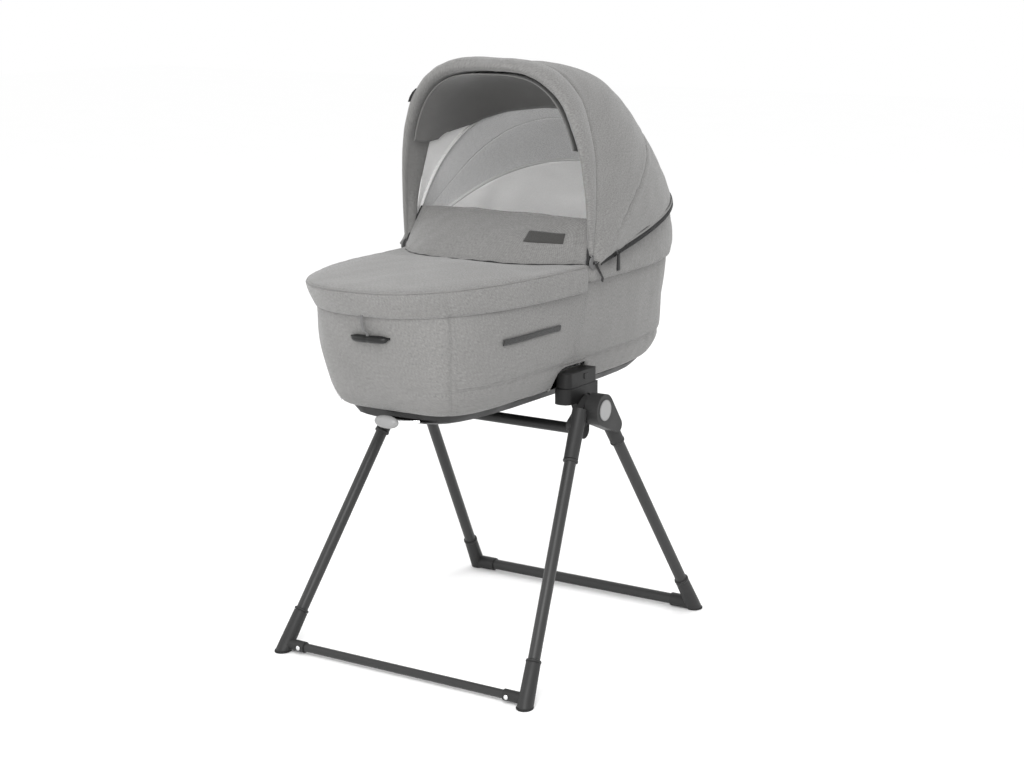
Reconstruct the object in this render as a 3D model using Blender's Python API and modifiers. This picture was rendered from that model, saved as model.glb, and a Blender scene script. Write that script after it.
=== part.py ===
"""A bassinet on a folding stand: a fabric carrycot with a folding hood, clipped onto two crossed-leg hubs.

Metres, +Z up. X runs across, -Y is the foot end, +Y the head end, and the floor is Z = 0.
The right-hand side is +X. Run with: blender --background --python part.py
"""

import math

import bmesh
import bpy
from mathutils import Matrix, Vector

# ---- Driving dimensions, in metres and degrees ----
GAP = 0.0003  # between pieces that touch

# Stand
TUBE_R = 0.011
TUBE_WALL = 0.0015
SLEEVE_R = 0.0133
BORE_R = TUBE_R + GAP
PIVOT_Z = 0.463
LEG_TOP_Z = 0.504
FRONT_FOOT = Vector((0.270, -0.331, 0.0))
FRONT_TOP = Vector((0.194, -0.013, LEG_TOP_Z))
REAR_FOOT = Vector((0.260, 0.314, 0.0))
REAR_TOP = Vector((0.204, 0.0, LEG_TOP_Z))
FOOT_TOP_Z = 0.068
FOOT_FLARE = 0.0012
FRONT_SLEEVE_END_Z = 0.386
REAR_SLEEVE_END_Z = 0.392
FRONT_BAR_R = 0.008
REAR_BAR_R = 0.0105
BAR_Z = 0.0135
CROSSBAR_R = 0.0103
CROSSBAR_Y = 0.002
CROSSBAR_Z = 0.4195
CROSSBAR_END = 0.185
LUG_R = 0.0165
BOLT_R = 0.006
BOLT_HEAD_R = 0.0105
CAP_R = 0.0193
EAR_R = 0.024
BOSS_R = 0.030
# Across the hub, from the inside out
NECK_X = (0.174, 0.187)
LUG_OUT_X = 0.1874
EAR_X = (0.188, 0.2035)
BOSS_X = (0.205, 0.2320)
CAP_SEAT_X = 0.2290
HEAD_SEAT_X = 0.2240
SOCKET_X = (0.1555, 0.190)
SOCKET_Y = (-0.062, 0.046)
SOCKET_Z = (0.477, 0.5065)
POCKET_X = (0.1650, 0.1800)
POCKET_Y = (-0.034, 0.024)
POCKET_FLOOR_Z = 0.4885

# Cot, sizes as half-width, foot end and head end at a height
COT_LEVELS = (
    # height, half-width, foot end, head end, squareness of the foot end and of the head end
    (0.500, 0.1474, 0.3508, 0.3828, 5.5, 4.4),
    (0.520, 0.1564, 0.3643, 0.4110, 5.2, 4.2),
    (0.555, 0.1671, 0.3793, 0.4273, 4.7, 3.85),
    (0.620, 0.1813, 0.4070, 0.4420, 3.8, 3.2),
    (0.700, 0.1970, 0.4390, 0.4558, 2.75, 2.5),
)
WALL = 0.009
FLOOR_Z = 0.510
RIM_POWER = 2.85  # squareness of the outlines at the rim
RIM_SIZE = (0.1885, 0.430, 0.4465)
RIM_HEAD_POWER = 2.5
TRAY_POWER = 4.2
RING_POINTS = 32
LINING_WALL = 0.002
LINING_GAP = 0.0026
LINING_FLOOR_Z = 0.5128
LINING_TOP_Z = 0.6990
TRAY_Z = (0.476, 0.4995)
TRAY_WALL = 0.004
RIM_TUBE_R = 0.006
RIM_Z = 0.7085
APRON_END_Y = -0.024
APRON_EDGE = (0.686, 0.2045, 0.4445)
APRON_SEAM = (0.728, 0.2065, 0.470)
APRON_WALL = 0.005
APRON_DOME = 0.022
HEAD_END = 0.470

# Hood, in polar sections about a cross axis: angle above +Y, half-width, reach
HOOD_Y = -0.010
HOOD_Z = 0.735
HOOD_FABRIC = 0.0032
REAR_GORE = ((11.0, 0.2205, 0.4650), (24.0, 0.2205, 0.4240), (38.0, 0.2205, 0.3900))
MID_GORE = ((38.6, 0.2155, 0.3835), (51.0, 0.2150, 0.3825), (63.5, 0.2145, 0.3815))
MID_BOW = (40.0, 0.2110, 0.3785)
FRONT_GORE = ((64.0, 0.2070, 0.3735), (74.0, 0.2065, 0.3655), (84.0, 0.2060, 0.3575))
FRONT_BAND = ((84.3, 0.2065, 0.3600), (89.0, 0.2070, 0.3650), (95.0, 0.2060, 0.3640))
FRONT_BAND_WALL = 0.010
FRONT_BOW = (80.0, 0.2005, 0.3500)
BOW_THICK = 0.003
BOW_WIDE = 0.010
HOOD_POWER = 3.2
HOOD_POINTS = 22
HOOD_START = 0.026  # the fabric starts this far from the pivot
LINING_SECTIONS = ((41.5, 0.2115, 0.3773), (51.0, 0.2111, 0.3786), (62.5, 0.2106, 0.3770))
LINING_SKIN = 0.0015
VISOR = ((85.5, 0.1900, 0.3380), (94.0, 0.1900, 0.3380))

# Wind flap
FLAP_HALF = 0.188
FLAP_FOOT = Vector((0.0, -0.004, 0.7365))
FLAP_TOP = Vector((0.0, 0.014, 0.811))
FLAP_THICK = 0.004
LABEL_SIZE = (0.080, 0.022)
LABEL_X = 0.112

# Inside the cot
HINGE_Y = 0.030
BOARD_Z = (0.5135, 0.5175)
MATTRESS_TOP_Z = 0.556
MATTRESS_HALF = 0.128
MATTRESS_FOOT_END = -0.300
MATTRESS_HEAD_END = 0.360
TAPE_CLEAR = 0.0012
TAPE_ENDS = (-0.257, -0.084)
TAPE_Z = (0.6200, 0.6305)
HOOK_HALF = 0.0410
HOOK_X = 0.018
ADAPTER_X = (0.1570, 0.1895)
ADAPTER_Y = (-0.059, 0.038)
ADAPTER_Z = (0.5068, 0.534)
NOTCH_CLEARANCE = 0.003

COLORS = {
    "shell_fabric": ((0.36, 0.37, 0.35), 0.9, 0.0),
    "lining_fabric": ((0.78, 0.78, 0.77), 0.9, 0.0),
    "visor_fabric": ((0.10, 0.10, 0.095), 0.9, 0.0),
    "mattress_fabric": ((0.82, 0.82, 0.80), 0.9, 0.0),
    "dark_plastic": ((0.055, 0.055, 0.055), 0.5, 0.0),
    "light_plastic": ((0.42, 0.42, 0.42), 0.4, 0.0),
    "leg_paint": ((0.05, 0.05, 0.052), 0.42, 0.3),
    "bar_paint": ((0.018, 0.018, 0.02), 0.4, 0.3),
    "bright_metal": ((0.75, 0.75, 0.76), 0.25, 1.0),
    "board_plastic": ((0.30, 0.30, 0.30), 0.6, 0.0),
}


# ---- Scene and small helpers ----
def clear_scene():
    for obj in list(bpy.data.objects):
        bpy.data.objects.remove(obj)


def new_collection(name, hidden=False):
    collection = bpy.data.collections.new(name)
    bpy.context.scene.collection.children.link(collection)
    collection.hide_render = hidden
    return collection


def material(name):
    made = bpy.data.materials.get(name)
    if made:
        return made
    color, roughness, metallic = COLORS[name]
    made = bpy.data.materials.new(name)
    made.use_nodes = True
    shader = made.node_tree.nodes["Principled BSDF"]
    shader.inputs["Base Color"].default_value = (*color, 1.0)
    shader.inputs["Roughness"].default_value = roughness
    shader.inputs["Metallic"].default_value = metallic
    made.diffuse_color = (*color, 1.0)
    return made


def finish_part(obj, name, look, parent=None):
    """Names a finished solid, gives it its material and puts it under its moving frame."""
    obj.name = name
    obj.data.name = name
    obj.data.materials.clear()
    obj.data.materials.append(material(look))
    if obj.type == "MESH":
        obj.data.shade_smooth()
        obj.data.set_sharp_from_angle(angle=math.radians(35))
    if obj.name not in PARTS.objects:
        PARTS.objects.link(obj)
    if parent is not None:
        obj.parent = parent
        obj.matrix_parent_inverse = parent.matrix_world.inverted()
    return obj


def hide_cutter(obj):
    for collection in list(obj.users_collection):
        collection.objects.unlink(obj)
    CUTTERS.objects.link(obj)
    obj.hide_render = True
    obj.display_type = "WIRE"


def boolean(target, other, operation):
    """Joins or cuts target with other, which stays as a wire helper."""
    modifier = target.modifiers.new(operation.title(), "BOOLEAN")
    modifier.operation = operation
    modifier.object = other
    modifier.solver = "EXACT"
    hide_cutter(other)
    return target


def pivot_frame(name, place):
    """An empty on a joint's axis, which that joint's pieces hang from."""
    empty = bpy.data.objects.new(name, None)
    PARTS.objects.link(empty)
    empty.location = place
    bpy.context.view_layer.update()
    return empty


def object_of(mesh, name="piece"):
    obj = bpy.data.objects.new(name, mesh)
    PARTS.objects.link(obj)
    return obj


def baked(obj):
    """The object as a plain welded mesh: a curve's caps are joined to its sides."""
    bpy.context.view_layer.update()
    graph = bpy.context.evaluated_depsgraph_get()
    mesh = bpy.data.meshes.new_from_object(obj.evaluated_get(graph))
    work = bmesh.new()
    work.from_mesh(mesh)
    bmesh.ops.remove_doubles(work, verts=work.verts, dist=1e-6)
    bmesh.ops.recalc_face_normals(work, faces=work.faces)
    work.to_mesh(mesh)
    work.free()
    plain = object_of(mesh)
    plain.matrix_world = obj.matrix_world.copy()
    bpy.data.objects.remove(obj)
    return plain


# ---- Shapes ----
def arc(centre, radius, start, end, count):
    """Points on a circle from start to end, in degrees."""
    turns = [math.radians(start + (end - start) * i / (count - 1)) for i in range(count)]
    return [(centre[0] + radius * math.cos(a), centre[1] + radius * math.sin(a)) for a in turns]


def rounded_box(low, high, radii, count=4):
    """A rectangle's outline, with one radius for each corner from the lowest, going round."""
    corners = ((low[0], low[1], 180), (high[0], low[1], 270), (high[0], high[1], 0), (low[0], high[1], 90))
    inward = ((1, 1), (-1, 1), (-1, -1), (1, -1))
    points = []
    for (x, y, start), (sx, sy), radius in zip(corners, inward, radii):
        points += arc((x + sx * radius, y + sy * radius), radius, start, start + 90, count)
    return points


def link_outline(first, first_r, second, second_r, count=10):
    """The outline round two circles and the straight sides between them."""
    away = math.degrees(math.atan2(second[1] - first[1], second[0] - first[0]))
    span = math.hypot(second[0] - first[0], second[1] - first[1])
    open_by = math.degrees(math.acos((first_r - second_r) / span))
    back = arc(first, first_r, away + open_by, away + 360 - open_by, count)
    return back + arc(second, second_r, away - open_by, away + open_by, count)


AXIS_FRAMES = {
    "X": Matrix(((0, 0, 1, 0), (1, 0, 0, 0), (0, 1, 0, 0), (0, 0, 0, 1))),
    "Y": Matrix(((1, 0, 0, 0), (0, 0, -1, 0), (0, 1, 0, 0), (0, 0, 0, 1))),
    "Z": Matrix.Identity(4),
}


def plate(outline, axis, low, high):
    """A flat outline made solid from low to high along an axis: (y, z) for X, (x, z) for Y, (x, y) for Z."""
    low, high = sorted((low, high))
    curve = bpy.data.curves.new("outline", "CURVE")
    curve.dimensions = "2D"
    curve.fill_mode = "BOTH"
    curve.extrude = (high - low) / 2
    spline = curve.splines.new("POLY")
    spline.points.add(len(outline) - 1)
    for point, (a, b) in zip(spline.points, outline):
        point.co = (a, b, 0, 1)
    spline.use_cyclic_u = True
    obj = object_of(curve)
    middle = (high + low) / 2 * (-1 if axis == "Y" else 1)
    obj.matrix_world = AXIS_FRAMES[axis] @ Matrix.Translation((0, 0, middle))
    return baked(obj)


def block(low, high):
    """A plain box between two corners."""
    bpy.ops.mesh.primitive_cube_add(size=1)
    obj = bpy.context.active_object
    low, high = Vector(low), Vector(high)
    obj.data.transform(Matrix.Translation((low + high) / 2) @ Matrix.Diagonal((*(high - low), 1)))
    return baked(obj)


def aligned(start, end):
    """A frame at start whose +Z points at end."""
    way = (Vector(end) - Vector(start)).normalized()
    return Matrix.Translation(start) @ way.to_track_quat("Z", "Y").to_matrix().to_4x4()


def turned(profile, frame, steps=20):
    """A profile of (radius, height) turned about the frame's Z. Its outer side runs from top to bottom."""
    mesh = bpy.data.meshes.new("profile")
    closed = profile[0][0] > 0
    count = len(profile)
    edges = [(i, (i + 1) % count) for i in range(count if closed else count - 1)]
    mesh.from_pydata([(r, 0, h) for r, h in profile], edges, [])
    obj = object_of(mesh)
    screw = obj.modifiers.new("Turn", "SCREW")
    screw.steps = screw.render_steps = steps
    screw.use_merge_vertices = True
    screw.merge_threshold = 0.00001
    screw.use_normal_calculate = True
    obj.matrix_world = frame
    return baked(obj)


def rod(start, end, radius, steps=16):
    length = (Vector(end) - Vector(start)).length
    return turned([(0, length), (radius, length), (radius, 0), (0, 0)], aligned(start, end), steps)


def pipe(start, end, radius, wall, steps=16):
    """A straight tube with open ends."""
    length = (Vector(end) - Vector(start)).length
    inner = radius - wall
    profile = [(radius, length), (radius, 0), (inner, 0), (inner, length)]
    return turned(profile, aligned(start, end), steps)


def loft(rings, closed=False):
    """A skin over rings of equal count, capped at its two ends, or closed on itself."""
    work = bmesh.new()
    made = [[work.verts.new(point) for point in ring] for ring in rings]
    pairs = list(zip(made, made[1:]))
    if closed:
        pairs.append((made[-1], made[0]))
    for first, second in pairs:
        for i in range(len(first)):
            j = (i + 1) % len(first)
            work.faces.new((first[i], first[j], second[j], second[i]))
    if not closed:
        caps = [work.faces.new(made[0]), work.faces.new(made[-1])]
        bmesh.ops.triangulate(work, faces=caps)
    bmesh.ops.recalc_face_normals(work, faces=work.faces)
    mesh = bpy.data.meshes.new("loft")
    work.to_mesh(mesh)
    work.free()
    return object_of(mesh)


def along(points, size):
    """A round bar on a line of points, as a curve with filled caps, made a mesh."""
    curve = bpy.data.curves.new("bar", "CURVE")
    curve.dimensions = "3D"
    curve.bevel_depth = size
    curve.bevel_resolution = 2
    curve.use_fill_caps = True
    spline = curve.splines.new("POLY")
    spline.points.add(len(points) - 1)
    for point, place in zip(spline.points, points):
        point.co = (*place, 1)
    return baked(object_of(curve))


def signed_power(value, power):
    return math.copysign(abs(value) ** power, value)


def cot_plan(z, half, foot, head, foot_power, head_power, count=RING_POINTS):
    """The cot's outline at one height: squarer than an ellipse, longer towards the head."""
    points = []
    for i in range(count):
        turn = 2 * math.pi * i / count
        power = head_power if math.sin(turn) > 0 else foot_power
        x = half * signed_power(math.cos(turn), 2 / power)
        y = signed_power(math.sin(turn), 2 / power)
        points.append(Vector((x, y * (head if y > 0 else foot), z)))
    return points


def mix(a, b, share):
    return a + (b - a) * share


def level_sizes(z):
    """The shell's half-width, foot end, head end and squareness of both ends at any height."""
    levels = COT_LEVELS
    pair = next((p for p in zip(levels, levels[1:]) if z <= p[1][0]), (levels[-2], levels[-1]))
    share = (z - pair[0][0]) / (pair[1][0] - pair[0][0])
    return tuple(mix(low, high, share) for low, high in zip(pair[0][1:], pair[1][1:]))


def cot_level(z, inset=0.0, count=RING_POINTS):
    """The shell's outline at any height, drawn in by inset."""
    half, foot, head, foot_power, head_power = level_sizes(z)
    return cot_plan(z, half - inset, foot - inset, head - inset, foot_power, head_power, count)


def tub(outer_levels, floor, inset, wall, count=RING_POINTS):
    """An open tub that follows the shell, inset from it, with this wall and its floor's top at floor."""
    outer = [cot_level(z, inset, count) for z in outer_levels]
    inner = [cot_level(z, inset + wall, count) for z in reversed(outer_levels) if z > floor + 0.004]
    inner.append(cot_level(floor, inset + wall, count))
    return loft(outer + inner)


def hood_section(angle, half, reach, start=HOOD_START, power=HOOD_POWER, count=HOOD_POINTS):
    """One polar section of the hood: from one side over the top to the other, in a plane through its pivot."""
    away = Vector((0, math.cos(math.radians(angle)), math.sin(math.radians(angle))))
    first = math.asin((start / reach) ** (power / 2))
    points = []
    for i in range(count):
        turn = mix(first, math.pi - first, i / (count - 1))
        x = half * signed_power(math.cos(turn), 2 / power)
        out = reach * math.sin(turn) ** (2 / power)
        points.append(Vector((x, HOOD_Y, HOOD_Z)) + away * out)
    return points


def hood_shell(sections, wall, start=HOOD_START, count=HOOD_POINTS):
    """A closed skin between polar sections, its inner side smaller by the wall."""
    rings = [hood_section(a, w, r, start, count=count) for a, w, r in sections]
    inner = [hood_section(a, w - wall, r - wall, start, count=count) for a, w, r in sections]
    strip = [list(p) for p in zip(*(rings + inner[::-1]))]
    return loft(strip)


def ring_bar(ring, radius, sides=8):
    """A closed hoop of round bar along a level ring."""
    sections = []
    count = len(ring)
    for i, point in enumerate(ring):
        way = (ring[(i + 1) % count] - ring[i - 1]).normalized()
        side = Vector((way.y, -way.x, 0))
        turns = [2 * math.pi * k / sides for k in range(sides)]
        up = Vector((0, 0, radius))
        sections.append([point + side * radius * math.cos(a) + up * math.sin(a) for a in turns])
    return loft(sections, closed=True)


def mirrored(point, side):
    return Vector((point[0] * side, point[1], point[2]))


def on_leg(foot, top, z):
    return foot + (top - foot) * (z / LEG_TOP_Z)


# ---- Stand ----
def make_hub(side, tag):
    """Socket block on a thin neck, which ends in a lug round the crossbar."""
    (y0, y1), (z0, z1) = SOCKET_Y, SOCKET_Z
    x0, x1 = sorted((SOCKET_X[0] * side, SOCKET_X[1] * side))
    hub = plate(rounded_box((x0, y0), (x1, y1), (0.014, 0.014, 0.004, 0.004)), "Z", z0, z1)
    neck_line = [(-0.030, z0 + 0.004), (-0.017, 0.455), (-0.0145, CROSSBAR_Z)]
    neck_line += arc((CROSSBAR_Y, CROSSBAR_Z), LUG_R, 180, 360, 12)
    neck_line += [(0.0225, 0.455), (0.034, z0 + 0.004)]
    boolean(hub, plate(neck_line, "X", NECK_X[0] * side, NECK_X[1] * side), "UNION")
    lug_ends = [Vector((x * side, CROSSBAR_Y, CROSSBAR_Z)) for x in (NECK_X[0] - 0.008, LUG_OUT_X)]
    boolean(hub, rod(*lug_ends, LUG_R, 24), "UNION")
    bar_ends = [Vector((x * side, CROSSBAR_Y, CROSSBAR_Z)) for x in (0.15, CROSSBAR_END + GAP)]
    boolean(hub, rod(*bar_ends, CROSSBAR_R + GAP, 20), "DIFFERENCE")
    bolt_ends = [Vector((x * side, 0, PIVOT_Z)) for x in (0.16, 0.20)]
    boolean(hub, rod(*bolt_ends, BOLT_R + GAP), "DIFFERENCE")
    swing = [Vector((x * side, 0, PIVOT_Z)) for x in (EAR_X[0] - 0.0008, 0.21)]
    boolean(hub, rod(*swing, EAR_R + 0.004, 24), "DIFFERENCE")
    pocket = ((POCKET_X[0] * side, POCKET_Y[0]), (POCKET_X[1] * side, POCKET_Y[1]))
    low = (min(pocket[0][0], pocket[1][0]), POCKET_Y[0], POCKET_FLOOR_Z)
    high = (max(pocket[0][0], pocket[1][0]), POCKET_Y[1], z1 + 0.01)
    boolean(hub, block(low, high), "DIFFERENCE")
    finish_part(baked(hub), "hub_" + tag, "dark_plastic")


def make_pivot_bolt(side, tag):
    start = Vector((0.172 * side, 0, PIVOT_Z))
    length = HEAD_SEAT_X + 0.004 - 0.172
    seat = length - 0.0036
    profile = [(0, length), (BOLT_HEAD_R, length), (BOLT_HEAD_R, seat), (BOLT_R, seat), (BOLT_R, 0), (0, 0)]
    frame = aligned(start, start + Vector((side, 0, 0)))
    finish_part(turned(profile, frame, 20), "pivot_bolt_" + tag, "bright_metal")


def make_crossbar():
    ends = [Vector((x * CROSSBAR_END, CROSSBAR_Y, CROSSBAR_Z)) for x in (-1, 1)]
    finish_part(pipe(*ends, CROSSBAR_R, TUBE_WALL, 20), "top_crossbar", "bar_paint")


def knuckle_sleeve(foot, top, side, from_z, to_z):
    """The tapered socket that a leg tube goes up into."""
    high, low = (mirrored(on_leg(foot, top, z), side) for z in (from_z, to_z))
    length = (high - low).length
    profile = [(0, length), (SLEEVE_R + 0.0008, length), (SLEEVE_R, 0), (0, 0)]
    return turned(profile, aligned(low, high), 20)


def tube_bore(foot, top, side, from_z, to_z):
    high, low = (mirrored(on_leg(foot, top, z), side) for z in (from_z, to_z))
    return rod(low, high, BORE_R, 16)


def pivot_hole(side, radius):
    return rod(Vector((0.15 * side, 0, PIVOT_Z)), Vector((0.25 * side, 0, PIVOT_Z)), radius, 14)


def make_front_knuckle(side, tag, parent):
    """An ear behind the rear knuckle's boss, carried down into the front leg's sleeve."""
    knuckle = knuckle_sleeve(FRONT_FOOT, FRONT_TOP, side, 0.466, FRONT_SLEEVE_END_Z)
    hold = on_leg(FRONT_FOOT, FRONT_TOP, 0.440)
    ear = link_outline((0, PIVOT_Z), EAR_R, (hold.y, hold.z), SLEEVE_R)
    boolean(knuckle, plate(ear, "X", EAR_X[0] * side, EAR_X[1] * side), "UNION")
    clear = [Vector((x * side, 0, PIVOT_Z)) for x in (EAR_X[1] + 0.0002, 0.25)]
    boolean(knuckle, rod(*clear, BOSS_R + 0.0012, 28), "DIFFERENCE")
    shaved = sorted((0.16 * side, EAR_X[0] * side))
    boolean(knuckle, block((shaved[0], -0.09, 0.40), (shaved[1], 0.06, 0.52)), "DIFFERENCE")
    boolean(knuckle, pivot_hole(side, BOLT_R + GAP), "DIFFERENCE")
    boolean(knuckle, tube_bore(FRONT_FOOT, FRONT_TOP, side, 0.430, FRONT_SLEEVE_END_Z - 0.01), "DIFFERENCE")
    finish_part(baked(knuckle), "front_knuckle_" + tag, "dark_plastic", parent)


def stepped_hole(side):
    """The bolt's hole, the seat of its head and the wider seat of the cap, as one cutter."""
    inner, outer = 0.18, 0.25
    steps = ((outer, CAP_R + GAP), (CAP_SEAT_X, BOLT_HEAD_R + 0.0006), (HEAD_SEAT_X, BOLT_R + GAP))
    profile = [(0, outer - inner)]
    for (top, radius), (below, _) in zip(steps, (*steps[1:], (inner, 0))):
        profile += [(radius, top - inner), (radius, below - inner)]
    profile.append((0, 0))
    start = Vector((inner * side, 0, PIVOT_Z))
    return turned(profile, aligned(start, start + Vector((side, 0, 0))), 22)


def make_rear_knuckle(side, tag, parent):
    """The round outer boss with its cap seat, carried down into the rear leg's sleeve."""
    hold = on_leg(REAR_FOOT, REAR_TOP, 0.425)
    outline = link_outline((0, PIVOT_Z), BOSS_R, (hold.y, hold.z), SLEEVE_R, 14)
    knuckle = plate(outline, "X", BOSS_X[0] * side, BOSS_X[1] * side)
    boolean(knuckle, knuckle_sleeve(REAR_FOOT, REAR_TOP, side, 0.452, REAR_SLEEVE_END_Z), "UNION")
    inner = [Vector((x * side, 0, PIVOT_Z)) for x in (0.18, EAR_X[1] + 0.0008)]
    boolean(knuckle, rod(*inner, EAR_R + 0.0012, 25), "DIFFERENCE")
    boolean(knuckle, stepped_hole(side), "DIFFERENCE")
    boolean(knuckle, tube_bore(REAR_FOOT, REAR_TOP, side, 0.425, REAR_SLEEVE_END_Z - 0.01), "DIFFERENCE")
    finish_part(baked(knuckle), "rear_knuckle_" + tag, "dark_plastic", parent)


def make_pivot_cap(side, tag, parent):
    start = Vector(((CAP_SEAT_X + GAP) * side, 0, PIVOT_Z))
    profile = [(0, 0.0048), (CAP_R - 0.003, 0.0046), (CAP_R, 0.0036), (CAP_R, 0), (0, 0)]
    frame = aligned(start, start + Vector((side, 0, 0)))
    finish_part(turned(profile, frame, 28), "pivot_cap_" + tag, "light_plastic", parent)


def make_leg(kind, foot, top, side, tag, upper_z, parent):
    ends = [mirrored(on_leg(foot, top, z), side) for z in (0.030, upper_z)]
    finish_part(pipe(*ends, TUBE_R, TUBE_WALL), f"{kind}_leg_tube_{tag}", "leg_paint", parent)


def make_foot(kind, foot, top, side, tag, bar_r, parent):
    """A sleeve foot, flat on the floor, with a branch that takes the bottom bar."""
    high = mirrored(on_leg(foot, top, FOOT_TOP_Z), side)
    low = mirrored(on_leg(foot, top, -0.02), side)
    length = (high - low).length
    flare = SLEEVE_R + FOOT_FLARE
    profile = [(0, length), (SLEEVE_R, length), (flare, 0.035), (flare, 0), (0, 0)]
    piece = turned(profile, aligned(low, high), 20)
    at_bar = mirrored(on_leg(foot, top, BAR_Z), side)
    reach = 0.046
    branch = [at_bar, at_bar - Vector((side * reach, 0, 0))]
    boolean(piece, rod(*branch, bar_r + 0.0026, 20), "UNION")
    hollow = [at_bar - Vector((side * x, 0, 0)) for x in (0.026, reach + 0.01)]
    boolean(piece, rod(*hollow, bar_r + GAP, 20), "DIFFERENCE")
    bore = [mirrored(on_leg(foot, top, z), side) for z in (0.0295, 0.09)]
    boolean(piece, rod(*bore, BORE_R, 16), "DIFFERENCE")
    low_box = Vector((foot.x * side, foot.y, 0)) - Vector((0.08, 0.06, 0.06))
    boolean(piece, block(low_box, low_box + Vector((0.16, 0.12, 0.06))), "DIFFERENCE")
    finish_part(baked(piece), f"{kind}_foot_{tag}", "dark_plastic", parent)


def make_bottom_bar(kind, foot, top, bar_r, parent):
    at_bar = on_leg(foot, top, BAR_Z)
    ends = [Vector(((at_bar.x - 0.0265) * side, at_bar.y, BAR_Z)) for side in (-1, 1)]
    finish_part(pipe(*ends, bar_r, 0.0012), f"{kind}_bottom_bar", "leg_paint", parent)


def make_bracket_bolt(side, tag, parent):
    """A dome-headed bolt on the front of each front foot's branch."""
    at_bar = mirrored(on_leg(FRONT_FOOT, FRONT_TOP, BAR_Z), side)
    start = at_bar + Vector((-side * 0.036, -FRONT_BAR_R - 0.0031, 0))
    profile = [(0, 0.003), (0.0028, 0.0024), (0.0045, 0.0008), (0.0045, 0), (0, 0)]
    frame = aligned(start, start - Vector((0, 1, 0)))
    finish_part(turned(profile, frame, 12), "front_bracket_bolt_" + tag, "bright_metal", parent)


def make_stand():
    pivot = Vector((0, 0, PIVOT_Z))
    front = pivot_frame("front_legs_pivot", pivot)
    rear = pivot_frame("rear_legs_pivot", pivot)
    make_crossbar()
    make_bottom_bar("front", FRONT_FOOT, FRONT_TOP, FRONT_BAR_R, front)
    make_bottom_bar("rear", REAR_FOOT, REAR_TOP, REAR_BAR_R, rear)
    for side, tag in ((1, "right"), (-1, "left")):
        make_hub(side, tag)
        make_pivot_bolt(side, tag)
        make_front_knuckle(side, tag, front)
        make_rear_knuckle(side, tag, rear)
        make_pivot_cap(side, tag, rear)
        make_leg("front", FRONT_FOOT, FRONT_TOP, side, tag, 0.4295, front)
        make_leg("rear", REAR_FOOT, REAR_TOP, side, tag, 0.4245, rear)
        make_foot("front", FRONT_FOOT, FRONT_TOP, side, tag, FRONT_BAR_R, front)
        make_foot("rear", REAR_FOOT, REAR_TOP, side, tag, REAR_BAR_R, rear)
        make_bracket_bolt(side, tag, front)


# ---- Cot ----
def notch_cutter(side):
    """The arch in the shell's side that the adapter and the stand's socket stand in."""
    low, high = SOCKET_Y[0] - 0.004, SOCKET_Y[1] + 0.004
    arch = [(low, 0.45), (low, 0.517)] + arc((low + 0.026, 0.520), 0.026, 175, 95, 5)
    arch += [(high - 0.006, ADAPTER_Z[1] + 0.006), (high, ADAPTER_Z[1]), (high, 0.45)]
    return plate(arch[::-1], "X", (SOCKET_X[0] - 0.002) * side, 0.24 * side)


def make_shell():
    shell = tub([level[0] for level in COT_LEVELS], FLOOR_Z, 0.0, WALL)
    for side in (1, -1):
        boolean(shell, notch_cutter(side), "DIFFERENCE")
    finish_part(baked(shell), "side_shell", "shell_fabric", COT)


def make_lining():
    heights = (LINING_FLOOR_Z - LINING_WALL, *(level[0] for level in COT_LEVELS[1:-1]), LINING_TOP_Z)
    lining = tub(heights, LINING_FLOOR_Z, WALL + LINING_GAP, LINING_WALL)
    for side in (1, -1):
        boolean(lining, notch_cutter(side), "DIFFERENCE")
    finish_part(baked(lining), "inner_lining", "lining_fabric", COT)


def make_tray():
    """The dark rocker base below the shell, with the slot that the backrest slider runs in."""
    low, high = TRAY_Z
    sizes = ((low, 0.108, 0.318, 0.345), (low + 0.008, 0.130, 0.338, 0.360), (high, 0.1440, 0.3470, 0.3780))
    outer = [cot_plan(*size, TRAY_POWER, TRAY_POWER) for size in sizes]
    inner = []
    for z, half, foot, head in reversed(sizes):
        lift = 0.0 if z == high else TRAY_WALL
        slim = (half - TRAY_WALL, foot - TRAY_WALL, head - TRAY_WALL)
        inner.append(cot_plan(z + lift, *slim, TRAY_POWER, TRAY_POWER))
    tray = loft(outer + inner)
    boolean(tray, block((-0.008, -0.37, 0.4835), (0.092, -0.326, 0.4895)), "DIFFERENCE")
    finish_part(baked(tray), "base_tray", "dark_plastic", COT)


def make_rim_frame():
    ring = cot_plan(RIM_Z, *RIM_SIZE, RIM_POWER, RIM_HEAD_POWER)
    finish_part(ring_bar(ring, RIM_TUBE_R, 6), "rim_frame", "board_plastic", COT)


def make_adapter(side, tag):
    """The clip block on the cot's side, whose tongue drops into the stand's socket."""
    x0, x1 = sorted((ADAPTER_X[0] * side, ADAPTER_X[1] * side))
    outline = rounded_box((x0, ADAPTER_Y[0]), (x1, ADAPTER_Y[1]), (0.012, 0.012, 0.003, 0.003))
    adapter = plate(outline, "Z", *ADAPTER_Z)
    tongue_x = sorted(((POCKET_X[0] + 0.0006) * side, (POCKET_X[1] - 0.0006) * side))
    low = (tongue_x[0], POCKET_Y[0] + 0.0006, POCKET_FLOOR_Z + 0.0006)
    high = (tongue_x[1], POCKET_Y[1] - 0.0006, ADAPTER_Z[0] + 0.002)
    boolean(adapter, block(low, high), "UNION")
    well = sorted(((ADAPTER_X[1] - 0.0062) * side, 0.21 * side))
    boolean(adapter, block((well[0], -0.0064, 0.5176), (well[1], 0.0064, 0.5284)), "DIFFERENCE")
    finish_part(baked(adapter), "clip_adapter_" + tag, "dark_plastic", COT)


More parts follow.
